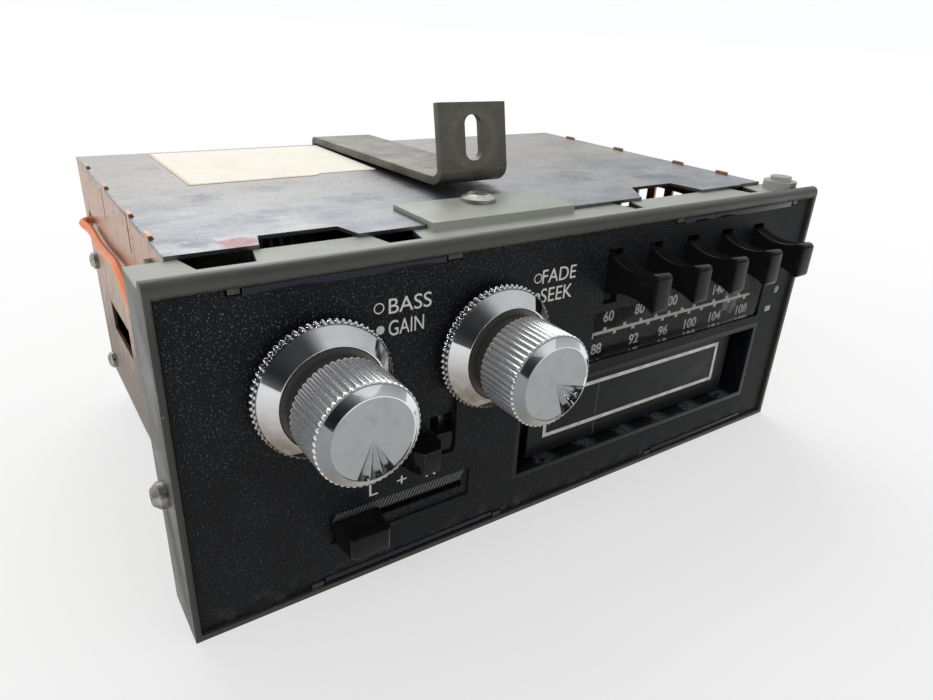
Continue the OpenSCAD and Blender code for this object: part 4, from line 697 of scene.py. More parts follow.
@dataclass(frozen=True)
class WallSteel(Finish):
    """Coppery tarnished wall: warm at the top, brown and streaked lower down."""

    light: Rgb = (0.42, 0.235, 0.140)
    mid: Rgb = (0.125, 0.076, 0.048)
    dark: Rgb = (0.034, 0.023, 0.016)
    warm_z: Point = (66.0, 22.0)

    def paint(self, board: Board) -> Sock:
        """Tarnishes the wall and makes it darker brown towards the bottom."""
        cloud = board.noise(13.0, 6, 0.65, (1.0, 1.0, 1.8)).ramp(0.30, 0.70)
        spots = board.noise(2.2, 5, 0.75).ramp(0.52, 0.72)
        # Darker brown towards the bottom.
        low = (board.z + (cloud - 0.5) * 26.0).ramp(*self.warm_z)
        rust = board.noise(5.0, 5, 0.7, (1.0, 1.0, 3.5), offset=(5, 0, 2)).ramp(0.55, 0.72)
        shade = board.layers(
            self.light,
            (low, self.mid),
            (spots * 0.6, self.dark),
            (rust * 0.55, (0.30, 0.11, 0.045)),
            (board.specks(3.4, 0.4, 0.16) * 0.55, (0.62, 0.58, 0.52)),
        )
        rough = 0.30 + low * 0.10 + spots * 0.16 + rust * 0.12
        height = board.noise(0.5, 3, 0.6, (1.0, 3.0, 1.0)) * 0.5 + cloud * 0.5
        return board.surface(shade, rough, height, 0.02, 0.2, Metallic=0.85)


@dataclass(frozen=True)
class StrapSteel(Finish):
    """Dull phosphated strap with a rubbed ring round its slot and dust on its level run."""

    colour: Rgb = (0.125, 0.118, 0.102)
    rubbed: Rgb = (0.21, 0.20, 0.175)
    dust: Rgb = (0.26, 0.235, 0.19)
    slot: Point = (-5.3, 104.8)
    ring: float = 8.2
    level_top: float = 96.0
    level_back: float = 137.0

    def paint(self, board: Board) -> Sock:
        """Rubs and dusts the strap."""
        radius = board.distance_to(*self.slot)
        outer = radius.ramp(self.ring + 1.6, self.ring)
        band = outer * radius.ramp(self.ring - 2.6, self.ring - 0.8)
        patch = board.noise(5.0, 5, 0.7).ramp(0.38, 0.72)
        fine = board.noise(0.7, 4, 0.7)
        flat = board.z.below(self.level_top) * board.y.below(self.level_back)
        bright = board.edge_mask(0.35) * board.noise(1.2, 4, 0.8).ramp(0.45, 0.7)
        shade = board.layers(
            self.colour,
            (patch * 0.45, dimmed(self.colour, 0.68)),
            (fine.ramp(0.55, 0.8) * 0.3, self.rubbed),
            (band * patch * 0.7, self.rubbed),
            (flat * board.noise(9.0, 4).ramp(0.4, 0.7) * 0.55, self.dust),
            (bright * 0.6, (0.36, 0.35, 0.33)),
        )
        rough = 0.46 + patch * 0.12 - band * 0.1
        return board.surface(shade, rough, fine, 0.02, 0.3, Metallic=0.55)


@dataclass(frozen=True)
class Paper(Finish):
    """Aged cream paper, stained and browned at its rim."""

    colour: Rgb = (0.90, 0.86, 0.76)
    stain_and_reflection: Rgb = (0.62, 0.50, 0.34)
    left: float = -80.0
    front: float = 81.5

    def paint(self, board: Board) -> Sock:
        """Ages the paper."""
        cloud = board.noise(11.0, 5, 0.6).ramp(0.42, 0.75)
        rim = (board.x - self.left).least(board.y - self.front)
        wear_and_reflection = (rim + (board.noise(2.0, 5, 0.75) - 0.5) * 3.0).ramp(1.6, 0.2)
        shade = board.layers(
            self.colour,
            (cloud * 0.16, self.stain_and_reflection),
            (wear_and_reflection * 0.6, self.stain_and_reflection),
            (board.specks(3.0, 0.2, 0.3) * 0.5, (0.30, 0.24, 0.17)),
        )
        return board.surface(shade, 0.82, board.noise(0.5, 4, 0.7) * 0.6 + cloud * 0.4, 0.03)


@dataclass(frozen=True)
class Clear(Finish):
    """Smoked or clear moulding that lets light through and mirrors at a glancing angle."""

    tint: Rgb = (0.80, 0.80, 0.80)
    gloss: float = 0.06
    smudge: float = 0.03
    mirror: float = 1.11

    def paint(self, board: Board) -> Sock:
        """Mixes a tinted clear layer with a mirror by the angle of view."""
        smear = board.noise(6.0, 5, 0.7).ramp(0.4, 0.75)
        normal = board.round_edges(0.5)
        through = board.node("ShaderNodeBsdfTransparent", {"Color": self.tint})
        mirror = board.node(
            "ShaderNodeBsdfGlossy",
            {"Color": (1.0, 1.0, 1.0), "Roughness": smear * 0.08 + self.gloss, "Normal": normal},
        )
        haze = board.node("ShaderNodeBsdfDiffuse", {"Color": (0.42, 0.40, 0.37)})
        angle = board.node("ShaderNodeFresnel", {"IOR": self.mirror, "Normal": normal})
        clean = board.node("ShaderNodeMixShader", {0: angle, 1: through, 2: mirror})
        cover = smear * self.smudge + board.specks(2.2, 0.12, 0.4) * 0.15
        return board.node("ShaderNodeMixShader", {0: cover, 1: clean, 2: haze})


@dataclass(frozen=True)
class Jewels(Finish):
    """Three small indicators: a green one between two milky ones."""

    green: Rgb = (0.015, 0.16, 0.085)
    milky: Rgb = (0.26, 0.29, 0.27)
    low: float = 50.0
    high: float = 57.0

    def paint(self, board: Board) -> Sock:
        """Colours each indicator by its height on the panel."""
        middle = board.z.above(self.low) * board.z.below(self.high)
        cloud = board.noise(0.8, 4, 0.7).ramp(0.35, 0.7)
        shade = board.layers(
            self.milky, (middle, self.green), (cloud * 0.45, (0.05, 0.055, 0.05))
        )
        return board.surface(shade, 0.16 + cloud * 0.2, cloud, 0.01, 0.3, Coat_Weight=0.6)


@dataclass(frozen=True)
class SillGloss(Finish):
    """Glossy black bezel whose sill carries a row of painted pale reflections, and dust."""

    colour: Rgb = (0.0050, 0.0055, 0.0068)
    # Colour of the painted reflections on the sill.
    patch: Rgb = (0.060, 0.072, 0.085)
    sill_top: float = 15.2
    sill_front: float = 0.3
    pitch: float = 17.0

    def paint(self, board: Board) -> Sock:
        """Lays the painted reflections along the sill."""
        cloud = board.noise(3.0, 5, 0.7, (0.6, 1.0, 1.0))
        wave = (board.x * (2.0 * math.pi / self.pitch) + cloud * 4.0).wave() * 0.5 + 0.5
        sill = board.z.below(self.sill_top) * board.y.above(self.sill_front)
        # Painted reflection: a row of pale bluish patches along the sill.
        wear_and_reflection = wave.ramp(0.45, 0.85) * cloud.ramp(0.34, 0.6) * sill
        dust = board.specks(2.4, 0.16, 0.35) + board.specks(6.0, 0.28, 0.2) * sill
        shade = board.layers(
            self.colour,
            (wear_and_reflection * 0.8, self.patch),
            (dust * 0.35, (0.42, 0.41, 0.38)),
            (board.edge_mask(0.3) * cloud.ramp(0.5, 0.7) * 0.35, (0.11, 0.11, 0.11)),
        )
        rough = 0.16 + wear_and_reflection * 0.18
        return board.surface(shade, rough, cloud, 0.01, 0.25, Specular_IOR_Level=0.2)


@dataclass(frozen=True)
class Mixed(Finish):
    """Small parts of many colours, one to each place on a coarse grid."""

    cell: float = 12.0
    stops: tuple[tuple[float, Rgb], ...] = (
        (0.0, (0.03, 0.07, 0.20)),
        (0.3, (0.012, 0.012, 0.013)),
        (0.5, (0.55, 0.50, 0.40)),
        (0.7, (0.32, 0.12, 0.03)),
        (0.9, (0.06, 0.16, 0.10)),
    )

    def paint(self, board: Board) -> Sock:
        """Picks a colour for each cell of the grid."""
        inputs = {"Vector": board.place, "Scale": 1.0 / (self.cell * MM), "Randomness": 0.0}
        cell = board.node("ShaderNodeTexVoronoi", inputs, "Color")
        lot = board.node("ShaderNodeSeparateColor", {0: cell})
        picked = board.node("ShaderNodeValToRGB", {0: lot}, stops=self.stops)
        grain = board.noise(0.6, 3)
        shade = board.layers(picked, (grain.ramp(0.5, 0.8) * 0.3, (0.18, 0.16, 0.13)))
        return board.surface(shade, 0.4 + (grain - 0.5) * 0.3, grain, 0.01, 0.2)


@dataclass(frozen=True)
class Winding(Finish):
    """Enamelled wire wound round an axis."""

    colour: Rgb = (0.36, 0.13, 0.04)
    # Painted shade: a darker copy of the wire's colour in the gaps between turns.
    painted_shade_gap: Rgb = (0.10, 0.035, 0.012)
    pitch: float = 0.28
    along: str = "y"

    def paint(self, board: Board) -> Sock:
        """Draws the turns side by side along the axis, with painted shade in the gaps between
        them.
        """
        place = {"x": board.x, "y": board.y, "z": board.z}[self.along]
        turns = (place * (2.0 * math.pi / self.pitch)).wave() * 0.5 + 0.5
        dull = board.noise(3.0, 4).ramp(0.5, 0.8) * 0.4
        shade = board.layers(self.painted_shade_gap, (turns, self.colour), (dull, (0.16, 0.10, 0.05)))
        return board.surface(shade, 0.32 + (1.0 - turns) * 0.2, turns, 0.08, Coat_Weight=0.4)


@dataclass(frozen=True)
class TwoMetals(Finish):
    """A steel piece with one stretch along Y of another metal."""

    colour: Rgb = (0.56, 0.56, 0.55)
    other: Rgb = (0.52, 0.38, 0.15)
    start: float = 34.0
    end: float = 39.5
    radius: float = 2.97
    axis: Point = (-27.9, 60.0)

    def paint(self, board: Board) -> Sock:
        """Colours the pinion apart from its shaft."""
        outside = board.distance_to(*self.axis).above(self.radius)
        band = board.y.above(self.start - 0.01) * board.y.below(self.end + 0.01) * outside
        scratch = board.noise(0.3, 3, 0.6, (1.0, 12.0, 1.0))
        dull = scratch.ramp(0.55, 0.8) * 0.3
        shade = board.layers(self.colour, (band, self.other), (dull, (0.20, 0.19, 0.17)))
        return board.surface(
            shade, 0.26 + (scratch - 0.5) * 0.2, scratch, 0.005, 0.1, Metallic=1.0
        )


# ---- Mesh helpers -------------------------------------------------------------------------


def linked(name: str, data: bpy.types.ID) -> bpy.types.Object:
    """Puts new data into the scene as an object of that name."""
    made = bpy.data.objects.new(name, data)
    bpy.context.scene.collection.objects.link(made)
    return made


def as_data(mesh: bmesh.types.BMesh, name: str) -> bpy.types.Mesh:
    """Turns a bmesh, which is freed, into mesh data of that name."""
    data = bpy.data.meshes.new(name)
    mesh.to_mesh(data)
    mesh.free()
    return data


def add_piece(
    mesh: bmesh.types.BMesh,
    name: str,
    material: bpy.types.Material,
    body: Body | str = Body.RADIO,
) -> bpy.types.Object:
    """Turns a bmesh into a piece of the object.

    Args:
        mesh: The finished bmesh, which is freed.
        name: The piece's name.
        material: Its material.
        body: The body it rides on.

    Returns:
        The new object.
    """
    for face in mesh.faces:
        face.smooth = True
    for edge in mesh.edges:
        edge.smooth = len(edge.link_faces) == 2 and edge.calc_face_angle(0.0) < SMOOTH_UNDER
    data = as_data(mesh, name)
    data.materials.append(material)
    piece = linked(name, data)
    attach(piece, body.value if isinstance(body, Body) else body)
    LOG.info("piece %s: %d faces", name, len(data.polygons))
    return piece


def stand_in(mesh: bmesh.types.BMesh, node: str, finish: Finish) -> None:
    """Lets a shape stand for a CAD node.

    Args:
        mesh: The shape.
        node: Name of the node.
        finish: Its finish.
    """
    body = frame["nodes"][node]["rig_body"]
    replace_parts(add_piece(mesh, f"{node}_body", finish.build(), body), node)


def dress(finish: Finish, *nodes: str) -> None:
    """Gives CAD nodes a finish.

    Args:
        finish: The finish.
        nodes: Names of the nodes.
    """
    material = finish.build()
    for node in nodes:
        data = frame["nodes"][node].data
        data.materials.clear()
        data.materials.append(material)
        LOG.info("node %s: %s", node, finish.name)


def soften(node: str, width: float, finish: Finish, segments: int = 3) -> None:
    """Stands a copy of a CAD node, with its sharp edges rounded, for the node.

    Args:
        node: Name of the node.
        width: Width of the rounding in millimetres.
        finish: Its finish.
        segments: Steps round each edge.
    """
    mesh = bmesh.new()
    mesh.from_mesh(frame["nodes"][node].data)
    bmesh.ops.remove_doubles(mesh, verts=mesh.verts, dist=WELD_NODE)
    bmesh.ops.dissolve_limit(mesh, angle_limit=FLAT_UNDER, verts=mesh.verts, edges=mesh.edges)
    sharp = [
        edge
        for edge in mesh.edges
        if len(edge.link_faces) == 2 and edge.calc_face_angle(0.0) > BEVEL_OVER
    ]
    bmesh.ops.bevel(
        mesh,
        geom=sharp,
        offset=width * MM,
        offset_type="OFFSET",
        segments=segments,
        profile=0.5,
        affect="EDGES",
        clamp_overlap=True,
        material=-1,
    )
    stand_in(mesh, node, finish)


def bar(
    mesh: bmesh.types.BMesh, low: Sequence[float], high: Sequence[float], lean: float = 0.0
) -> None:
    """Adds a straight bar between two corners in millimetres.

    Args:
        mesh: The bmesh it goes into.
        low: Lowest corner.
        high: Highest corner.
        lean: How far its top is shifted along X.
    """
    made = bmesh.ops.create_cube(mesh, size=1.0)["verts"]
    size = [(b - a) * MM for a, b in zip(low, high)]
    middle = [(a + b) / 2 * MM for a, b in zip(low, high)]
    bmesh.ops.scale(mesh, vec=size, verts=made)
    bmesh.ops.translate(mesh, vec=middle, verts=made)
    for vert in made:
        if vert.co.z > middle[2]:
            vert.co.x += lean * MM


@dataclass
class Print:
    """Flat print with a little thickness on a face that looks forward."""

    front: float
    thick: float
    bold: float = 0.0

    def letters(
        self, text: str, x: float, z: float, height: float, width: float
    ) -> bmesh.types.BMesh:
        """Makes letters.

        Args:
            text: The letters.
            x: Left end in millimetres.
            z: Foot of the letters.
            height: Height of a capital or a figure.
            width: Width of the whole text.

        Returns:
            The letters' bmesh.
        """
        curve = bpy.data.curves.new("letters", "FONT")
        curve.body = text
        curve.size = 1.0
        curve.resolution_u = 6
        curve.offset = self.bold
        curve.extrude = 0.5
        holder = linked("letters", curve)
        bpy.context.view_layer.update()
        flat = bpy.data.meshes.new_from_object(holder)
        bpy.data.objects.remove(holder)
        bpy.data.curves.remove(curve)
        mesh = bmesh.new()
        mesh.from_mesh(flat)
        bpy.data.meshes.remove(flat)
        bmesh.ops.remove_doubles(mesh, verts=mesh.verts, dist=WELD_LETTERS)
        xs = [v.co.x for v in mesh.verts]
        ys = [v.co.y for v in mesh.verts]
        grow = (width * MM / (max(xs) - min(xs)), height * MM / (max(ys) - min(ys)))
        place = Matrix.Translation((x * MM, (self.front + self.thick / 2) * MM, z * MM))
        turn = Matrix.Rotation(math.pi / 2, 4, "X")
        start = Matrix.Translation((-min(xs), -min(ys), 0.0))
        mesh.transform(place @ turn @ Matrix.Diagonal((*grow, self.thick * MM, 1.0)) @ start)
        return mesh

    def disc(self, x: float, z: float, radius: float, hole: float = 0.0) -> bmesh.types.BMesh:
        """Makes a spot or ring.

        Args:
            x: Middle across in millimetres.
            z: Middle height.
            radius: Outer radius.
            hole: Inner radius, or 0 for a filled spot.

        Returns:
            Its bmesh.
        """
        mesh = bmesh.new()
        profile = [(hole, 0.0), (radius, 0.0), (radius, self.thick), (hole, self.thick)]
        face = mesh.faces.new([mesh.verts.new((r * MM, t * MM, 0.0)) for r, t in profile])
        return spun(mesh, [face, *face.verts, *face.edges], (x, self.front, z), 48)


def merged(parts: Sequence[bmesh.types.BMesh]) -> bmesh.types.BMesh:
    """Joins several bmeshes into one.

    Args:
        parts: The bmeshes, which are freed.

    Returns:
        The joined bmesh.
    """
    whole = bmesh.new()
    for part in parts:
        data = as_data(part, "part")
        whole.from_mesh(data)
        bpy.data.meshes.remove(data)
    return whole


def spun(
    mesh: bmesh.types.BMesh, geom: Sequence[object], place: Sequence[float], steps: int
) -> bmesh.types.BMesh:
    """Spins a profile fully round the Y axis and puts the shape in its place.

    Args:
        mesh: The bmesh of the profile.
        geom: The profile's corners, edges and faces.
        place: Where the shape goes, in millimetres.
        steps: Steps of the full turn.

    Returns:
        The closed shape.
    """
    bmesh.ops.spin(
        mesh,
        geom=geom,
        cent=(0.0, 0.0, 0.0),
        axis=(0.0, 1.0, 0.0),
        angle=2 * math.pi,
        steps=steps,
        use_merge=True,
    )
    bmesh.ops.remove_doubles(mesh, verts=mesh.verts, dist=WELD_TURNED)
    bmesh.ops.dissolve_degenerate(mesh, edges=mesh.edges, dist=WELD_TURNED)
    bmesh.ops.recalc_face_normals(mesh, faces=mesh.faces)
    bmesh.ops.translate(mesh, vec=[part * MM for part in place], verts=mesh.verts)
    return mesh


# ---- Studio -------------------------------------------------------------------------------


@dataclass
class Softbox:
    """One large soft lamp aimed at the object."""

    name: str
    place: Xyz
    size: float
    watts: float
    mirrored: bool = True
    aim: Xyz = (0.0, 0.05, 0.05)

    def build(self) -> None:
        """Makes the lamp and turns it to its aim."""
        data = bpy.data.lights.new(self.name, "AREA")
        data.shape = "DISK"
        data.size = self.size
        data.energy = self.watts
        lamp = linked(self.name, data)
        lamp.location = self.place
        way = Vector(self.aim) - Vector(self.place)
        lamp.rotation_euler = way.to_track_quat("-Z", "Y").to_euler()
        lamp.visible_glossy = self.mirrored


@dataclass
class Studio:
    """Camera, pale floor and soft light."""

    camera_place: Xyz = (-130.2, -132.8, 136.3)
    camera_forward: Xyz = (0.52538, 0.73726, -0.42476)
    camera_up: Xyz = (0.20290, 0.37625, 0.90403)
    lens: float = 27.03
    floor_radius: float = 12.0
    floor_fade: Point = (60.0, 520.0)
    floor_least: float = 0.52
    shade_way: Xyz = (-0.55, -0.49, 0.67)
    shade_reach: Point = (0.62, 0.90)
    glow_deep: Point = (-0.9, 0.35)
    glow_high: Point = (0.1, 0.8)
    glow_least: float = 0.12
    fill: float = 0.55
    lamps: list[Softbox] = field(
        default_factory=lambda: [
            Softbox("sky_softbox", (0.25, 1.15, 1.15), 1.5, 13.0),
            Softbox("left_softbox", (-1.1, -0.55, 1.0), 1.0, 6.0, mirrored=False),
            Softbox("glint_lamp", (-0.75, -0.9, 1.5), 0.12, 2.0),
            Softbox("front_fill", (0.5, -1.5, 0.5), 1.4, 1.6),
        ]
    )

    def build(self) -> None:
        """Builds the studio."""
        bpy.context.scene.view_settings.view_transform = "Standard"
        self._camera()
        self._floor()
        self._world()
        for lamp in self.lamps:
            lamp.build()

    def _camera(self) -> None:
        """Places the camera at the photograph's angle."""
        data = bpy.data.cameras.new("camera")
        data.sensor_width = 36.0
        data.lens = self.lens
        data.clip_start = 0.01
        back = -Vector(self.camera_forward).normalized()
        right = Vector(self.camera_up).cross(back).normalized()
        turn = Matrix((right, back.cross(right), back)).transposed().to_4x4()
        camera = linked("camera", data)
        camera.matrix_world = Matrix.Translation([v * MM for v in self.camera_place]) @ turn
        bpy.context.scene.camera = camera

    def _floor(self) -> None:
        """Lays a pale floor that fades into the white background."""
        board = Board("floor_paint")
        radius = (board.x**2 + board.y**2).root()
        far = radius.ramp(*self.floor_fade) * (1.0 - self.floor_least) + self.floor_least
        seen = board.ray("Camera").most(board.ray("Glossy")).most(board.ray("Transmission"))
        matt = board.node("ShaderNodeBsdfDiffuse", {"Color": (0.86, 0.86, 0.85)})
        white = board.node("ShaderNodeEmission", {"Color": (1.0, 1.0, 1.0), "Strength": 1.0})
        board.close(board.node("ShaderNodeMixShader", {0: far * seen, 1: matt, 2: white}))
        mesh = bmesh.new()
        bmesh.ops.create_circle(mesh, cap_ends=True, radius=self.floor_radius, segments=64)
        data = as_data(mesh, "floor")
        data.materials.append(board.material)
        linked("floor", data)

    def _world(self) -> None:
        """Makes a white backdrop that mirrors dimly in front and darkly behind the camera."""
        world = bpy.data.worlds.new("studio")
        kit = Nodes(world)
        wide, deep, high = kit.axes(kit.node("ShaderNodeTexCoord", {}, "Generated"))
        toward = wide * self.shade_way[0] + deep * self.shade_way[1] + high * self.shade_way[2]
        camera = kit.ray("Camera")
        glossy = kit.ray("Glossy").most(kit.ray("Transmission")) * (1.0 - camera)
        glow = deep.ramp(*self.glow_deep) * 0.75 + high.ramp(*self.glow_high) * 0.45
        dim = (glow + self.glow_least).least(1.0)
        dim = dim * (1.0 - toward.ramp(*self.shade_reach) * 0.90)
        strength = camera + glossy * dim + (1.0 - camera.most(glossy)) * self.fill
        inputs = {"Color": (0.98, 0.99, 1.0), "Strength": strength}
        kit.close(kit.node("ShaderNodeBackground", inputs), "World")
        bpy.context.scene.world = world


# ---- Sub-assemblies -----------------------------------------------------------------------


@dataclass
class Front:
    """Frame, panel, light strips and the printed legends."""

    legend: Print = field(default_factory=lambda: Print(-0.05, 0.05))
    words: tuple[tuple[str, float, float, float, float], ...] = (
        ("BASS", -58.2, 74.0, 3.8, 11.6),
        ("GAIN", -58.2, 68.4, 3.9, 9.6),
        ("FADE", -12.1, 74.0, 3.8, 11.9),
        ("SEEK", -12.1, 68.4, 4.1, 11.2),
        ("L   +   R", -63.8, 24.4, 3.6, 20.2),
    )
    rings: tuple[Point, ...] = ((-60.7, 75.9), (-13.6, 75.7))
    ring_r: Point = (1.35, 1.07)
    dots: tuple[Point, ...] = ((-60.4, 70.4), (-13.4, 70.5))
    dot_r: float = 1.08
    hatch_x: Point = (-74.0, -33.4)
    hatch_y: Point = (0.32, 0.6)
    hatch_z: Point = (19.4, 22.2)
    hatch_pitch: float = 1.0
    hatch_rib: float = 0.5
    hatch_lean: float = 1.4
    frame_edge: float = 0.35
    strip_edge: float = 0.2

    def build(self) -> None:
        """Dresses the front and prints its legends."""
        soften("front_frame", self.frame_edge, FramePaint("sage_paint"))
        dress(PanelFinish("wrinkle_black"), "face_panel")
        strips = Plastic("smoked_strip", (0.0045, 0.0065, 0.0150), roughness=0.10, spread=0.10,
                         dust=0.12, wear=0.75, wear_and_reflection=(0.16, 0.145, 0.11))
        soften("light_strips", self.strip_edge, strips, 2)
        dress(Jewels("indicator_jewels"), "indicator_lenses")
        ink = Plastic("print_white", (0.60, 0.60, 0.57), roughness=0.6, dust=0.0, edge=0.02)
        self._legends(ink.build())
        self._hatch()

    def _legends(self, ink: bpy.types.Material) -> None:
        """Prints the words, rings and dots."""
        for number, word in enumerate(self.words):
            add_piece(self.legend.letters(*word), f"legend_{number + 1}", ink)
        marks = [self.legend.disc(x, z, *self.ring_r) for x, z in self.rings]
        marks += [self.legend.disc(x, z, self.dot_r) for x, z in self.dots]
        add_piece(merged(marks), "legend_marks", ink)

    def _hatch(self) -> None:
        """Lays the band of slanted ribs above the balance slider's slot."""
        mesh = bmesh.new()
        (left, right), (front, back), (low, high) = self.hatch_x, self.hatch_y, self.hatch_z
        for index in range(int((right - left - self.hatch_lean) / self.hatch_pitch)):
            x = left + index * self.hatch_pitch
            bar(mesh, (x, front, low), (x + self.hatch_rib, back, high), self.hatch_lean)
        rubbed = Plastic("ribbed_band", (0.10, 0.102, 0.108), roughness=0.4, dust=0.4, edge=0.05,
                         specular=0.4)
        add_piece(mesh, "balance_ribs", rubbed.build())


@dataclass
class TurnedPiece:
    """A piece that is turned round an axis along Y and then carved."""

    node: str
    axis_x: float
    axis_z: float = 60.0
    steps: int = 300

    def profile(self) -> list[Point]:
        """Radius and Y of the profile's corners, from the axis back to the axis."""
        raise NotImplementedError

    def push(self, angle: float, radius: float, y: float) -> Point:
        """How far a corner at an angle, radius and Y moves outward and along the axis."""
        raise NotImplementedError

    def build(self, finish: Finish) -> None:
        """Turns and carves the piece and lets it stand for its node.

        Args:
            finish: Its finish.
        """
        mesh = bmesh.new()
        verts = [mesh.verts.new((r * MM, y * MM, 0.0)) for r, y in self.profile()]
        edges = [mesh.edges.new(pair) for pair in zip(verts, verts[1:])]
        spun(mesh, [*verts, *edges], (self.axis_x, 0.0, self.axis_z), self.steps)
        for vert in mesh.verts:
            across, up = vert.co.x / MM - self.axis_x, vert.co.z / MM - self.axis_z
            radius = math.hypot(across, up)
            if radius > 1e-4:
                out, along = self.push(math.atan2(up, across), radius, vert.co.y / MM)
                vert.co.x += across / radius * out * MM
                vert.co.z += up / radius * out * MM
                vert.co.y += along * MM
        stand_in(mesh, self.node, finish)


@dataclass
class FlutedKnob(TurnedPiece):
    """A knob with round flutes, a mirror lip and a finely turned disc with a fan of grooves."""

    fan: float = 0.0
    rim: float = 12.1
    valley: float = 11.5
    flutes: int = 50
    skirt_r: float = 11.0
    skirt: Point = (-9.0, -11.9)
    barrel: Point = (-12.0, -24.85)
    flute_end: float = 0.6
    nose: float = -26.5
    disc: float = 9.3
    disc_front: float = -26.2
    groove: float = 0.17
    slope: float = 0.16
    fan_half: float = 27.0
    fan_depth: float = 0.85

    def profile(self) -> list[Point]:
        """The skirt behind, the barrel, the lip and the disc's fine grooves."""
        (hidden, step), (back, front) = self.skirt, self.barrel
        stations = (0.0, 0.12, 0.3, self.flute_end, 1.0, 3.0, 9.0)
        rows = [back - s for s in stations] + [front + s for s in reversed(stations[:-1])]
        corners = [(0.0, hidden), (self.skirt_r, hidden), (self.skirt_r, step)]
        corners += [(self.valley - 0.1, step)] + [(self.valley, y) for y in rows]
        corners += [(self.valley - 0.05, front - 0.02), (self.disc + 0.45, self.nose + 0.06)]
        corners += [(self.disc + 0.35, self.nose), (self.disc + 0.12, self.nose)]
        corners.append((self.disc, self.disc_front))
        for index in range(1, int(self.disc / self.groove)):
            deep = self.groove * self.slope if index % 2 else 0.0
            corners.append((self.disc - index * self.groove, self.disc_front + deep))
        return corners + [(0.0, self.disc_front)]

    def push(self, angle: float, radius: float, y: float) -> Point:
        """Swells the flutes and sinks the fan."""
        back, front = self.barrel
        if radius > self.valley - 0.01 and front - 0.01 < y < back + 0.01:
            reach = max(0.0, min(self.flute_end, back - y, y - front)) / self.flute_end
            end = math.sqrt(1.0 - (1.0 - reach) ** 2)
            round_top = abs(math.cos(self.flutes * angle / 2.0)) ** 0.8
            return (self.rim - self.valley) * end * round_top, 0.0
        if radius < self.disc and y < self.disc_front + 0.2:
            turn = (90.0 - self.fan) - math.degrees(angle)
            turn = (turn + 180.0) % 360.0 - 180.0
            if abs(turn) < self.fan_half:
                wave = abs(math.sin(1.5 * math.pi * (turn / self.fan_half + 1.0))) ** 0.7
                return 0.0, self.fan_depth * min(1.0, radius / self.disc) * wave
        return 0.0, 0.0


@dataclass
class BeadedRing(TurnedPiece):
    """A ring with a mirror cone and two rows of beads round its rim."""

    steps: int = 384
    beads: int = 64
    rows: tuple[Xyz, ...] = ((17.3, -2.2, -3.3), (17.0, -3.4, -4.5))
    root: float = 16.35
    cone: tuple[Point, Point] = ((16.15, -4.6), (13.0, -8.23))
    lip: float = 12.45
    dish: float = -7.9
    bore: float = 4.4

    def profile(self) -> list[Point]:
        """The rows of beads, the cone, the lip and the dish inside it."""
        foot = self.rows[0][1]
        corners = [(0.0, foot), (self.root - 0.3, foot)]
        for _, back, front in self.rows:
            corners += [(self.root, back + (front - back) * k / 6.0) for k in range(7)]
        top_r, top_y = self.cone[1]
        corners += [*self.cone, (top_r - 0.12, top_y - 0.07), (self.lip + 0.1, top_y - 0.07)]
        corners += [(self.lip, top_y), (self.lip - 0.1, self.dish)]
        return corners + [(self.bore, self.dish), (0.0, self.dish)]

    def push(self, angle: float, radius: float, y: float) -> Point:
        """Swells the two rows of beads."""
        if abs(radius - self.root) > 0.01:
            return 0.0, 0.0
        for outer, back, front in self.rows:
            if front - 0.005 <= y <= back + 0.005:
                share = (y - back) / (front - back)
                swell = math.sin(math.pi * min(1.0, max(0.0, share))) ** 0.6
                bead = abs(math.cos(self.beads * angle / 2.0)) ** 0.7
                return (outer - self.root) * swell * bead, 0.0
        return 0.0, 0.0


@dataclass
class Knobs:
    """The two stacks of a knob, a ring and their shafts."""

    volume_x: float = -75.8
    tuning_x: float = -27.9
    volume_fan: float = 176.0
    tuning_fan: float = 134.0
    steel: Rgb = (0.56, 0.56, 0.55)
    brass: Rgb = (0.52, 0.38, 0.16)

    def build(self) -> None:
        """Builds and dresses both stacks."""
        left = ("volume", self.volume_x, self.volume_fan)
        for name, x, fan in (left, ("tuning", self.tuning_x, self.tuning_fan)):
            FlutedKnob(f"{name}_knob", x, fan=fan).build(KnobChrome(f"{name}_chrome", x))
        for name, x in (("tone", self.volume_x), ("fader", self.tuning_x)):
            BeadedRing(f"{name}_ring", x).build(RingChrome(f"{name}_chrome", x))
        dress(Metal("sleeve_brass", self.brass, (0.25, 0.17, 0.08)), "tone_sleeve", "fader_sleeve")
        dress(Metal("shaft_steel", self.steel, stretch=(1.0, 10.0, 1.0)), "volume_shaft")
        dress(TwoMetals("pinion_shaft", self.steel, self.brass), "tuning_shaft")
        dress(Metal("bushing_plate", (0.50, 0.49, 0.45), (0.22, 0.19, 0.15)), "control_bushings")
        dress(Metal("pot_can", (0.42, 0.43, 0.41), (0.25, 0.22, 0.16)), "volume_pot", "fader_pot")


@dataclass
class Controls:
    """Push buttons and the two sliders."""

    buttons: int = 5
    black: Rgb = (0.0065, 0.0065, 0.0072)
    button_edge: float = 0.55
    slider_edge: float = 0.35

    def build(self) -> None:
        """Rounds and dresses the buttons and sliders."""
        blade = Plastic("button_black", self.black, wear=0.55, roughness=0.16, spread=0.16,
                        dust=0.05, specular=0.16, wear_and_reflection=(0.13, 0.125, 0.12))
        for number in range(1, self.buttons + 1):
            soften(f"push_button_{number}", self.button_edge, blade)
        slider = Plastic("slider_black", self.black, wear=0.75, roughness=0.14, spread=0.18,
                         dust=0.12, specular=0.14, wear_and_reflection=(0.24, 0.24, 0.25))
        for node in ("balance_slider", "band_slider"):
            soften(node, self.slider_edge, slider)
        dress(Plastic("laminate", (0.16, 0.085, 0.03), roughness=0.5, grain=0.8), "balance_pot")
        dress(Metal("switch_can", (0.48, 0.49, 0.47)), "band_switch")


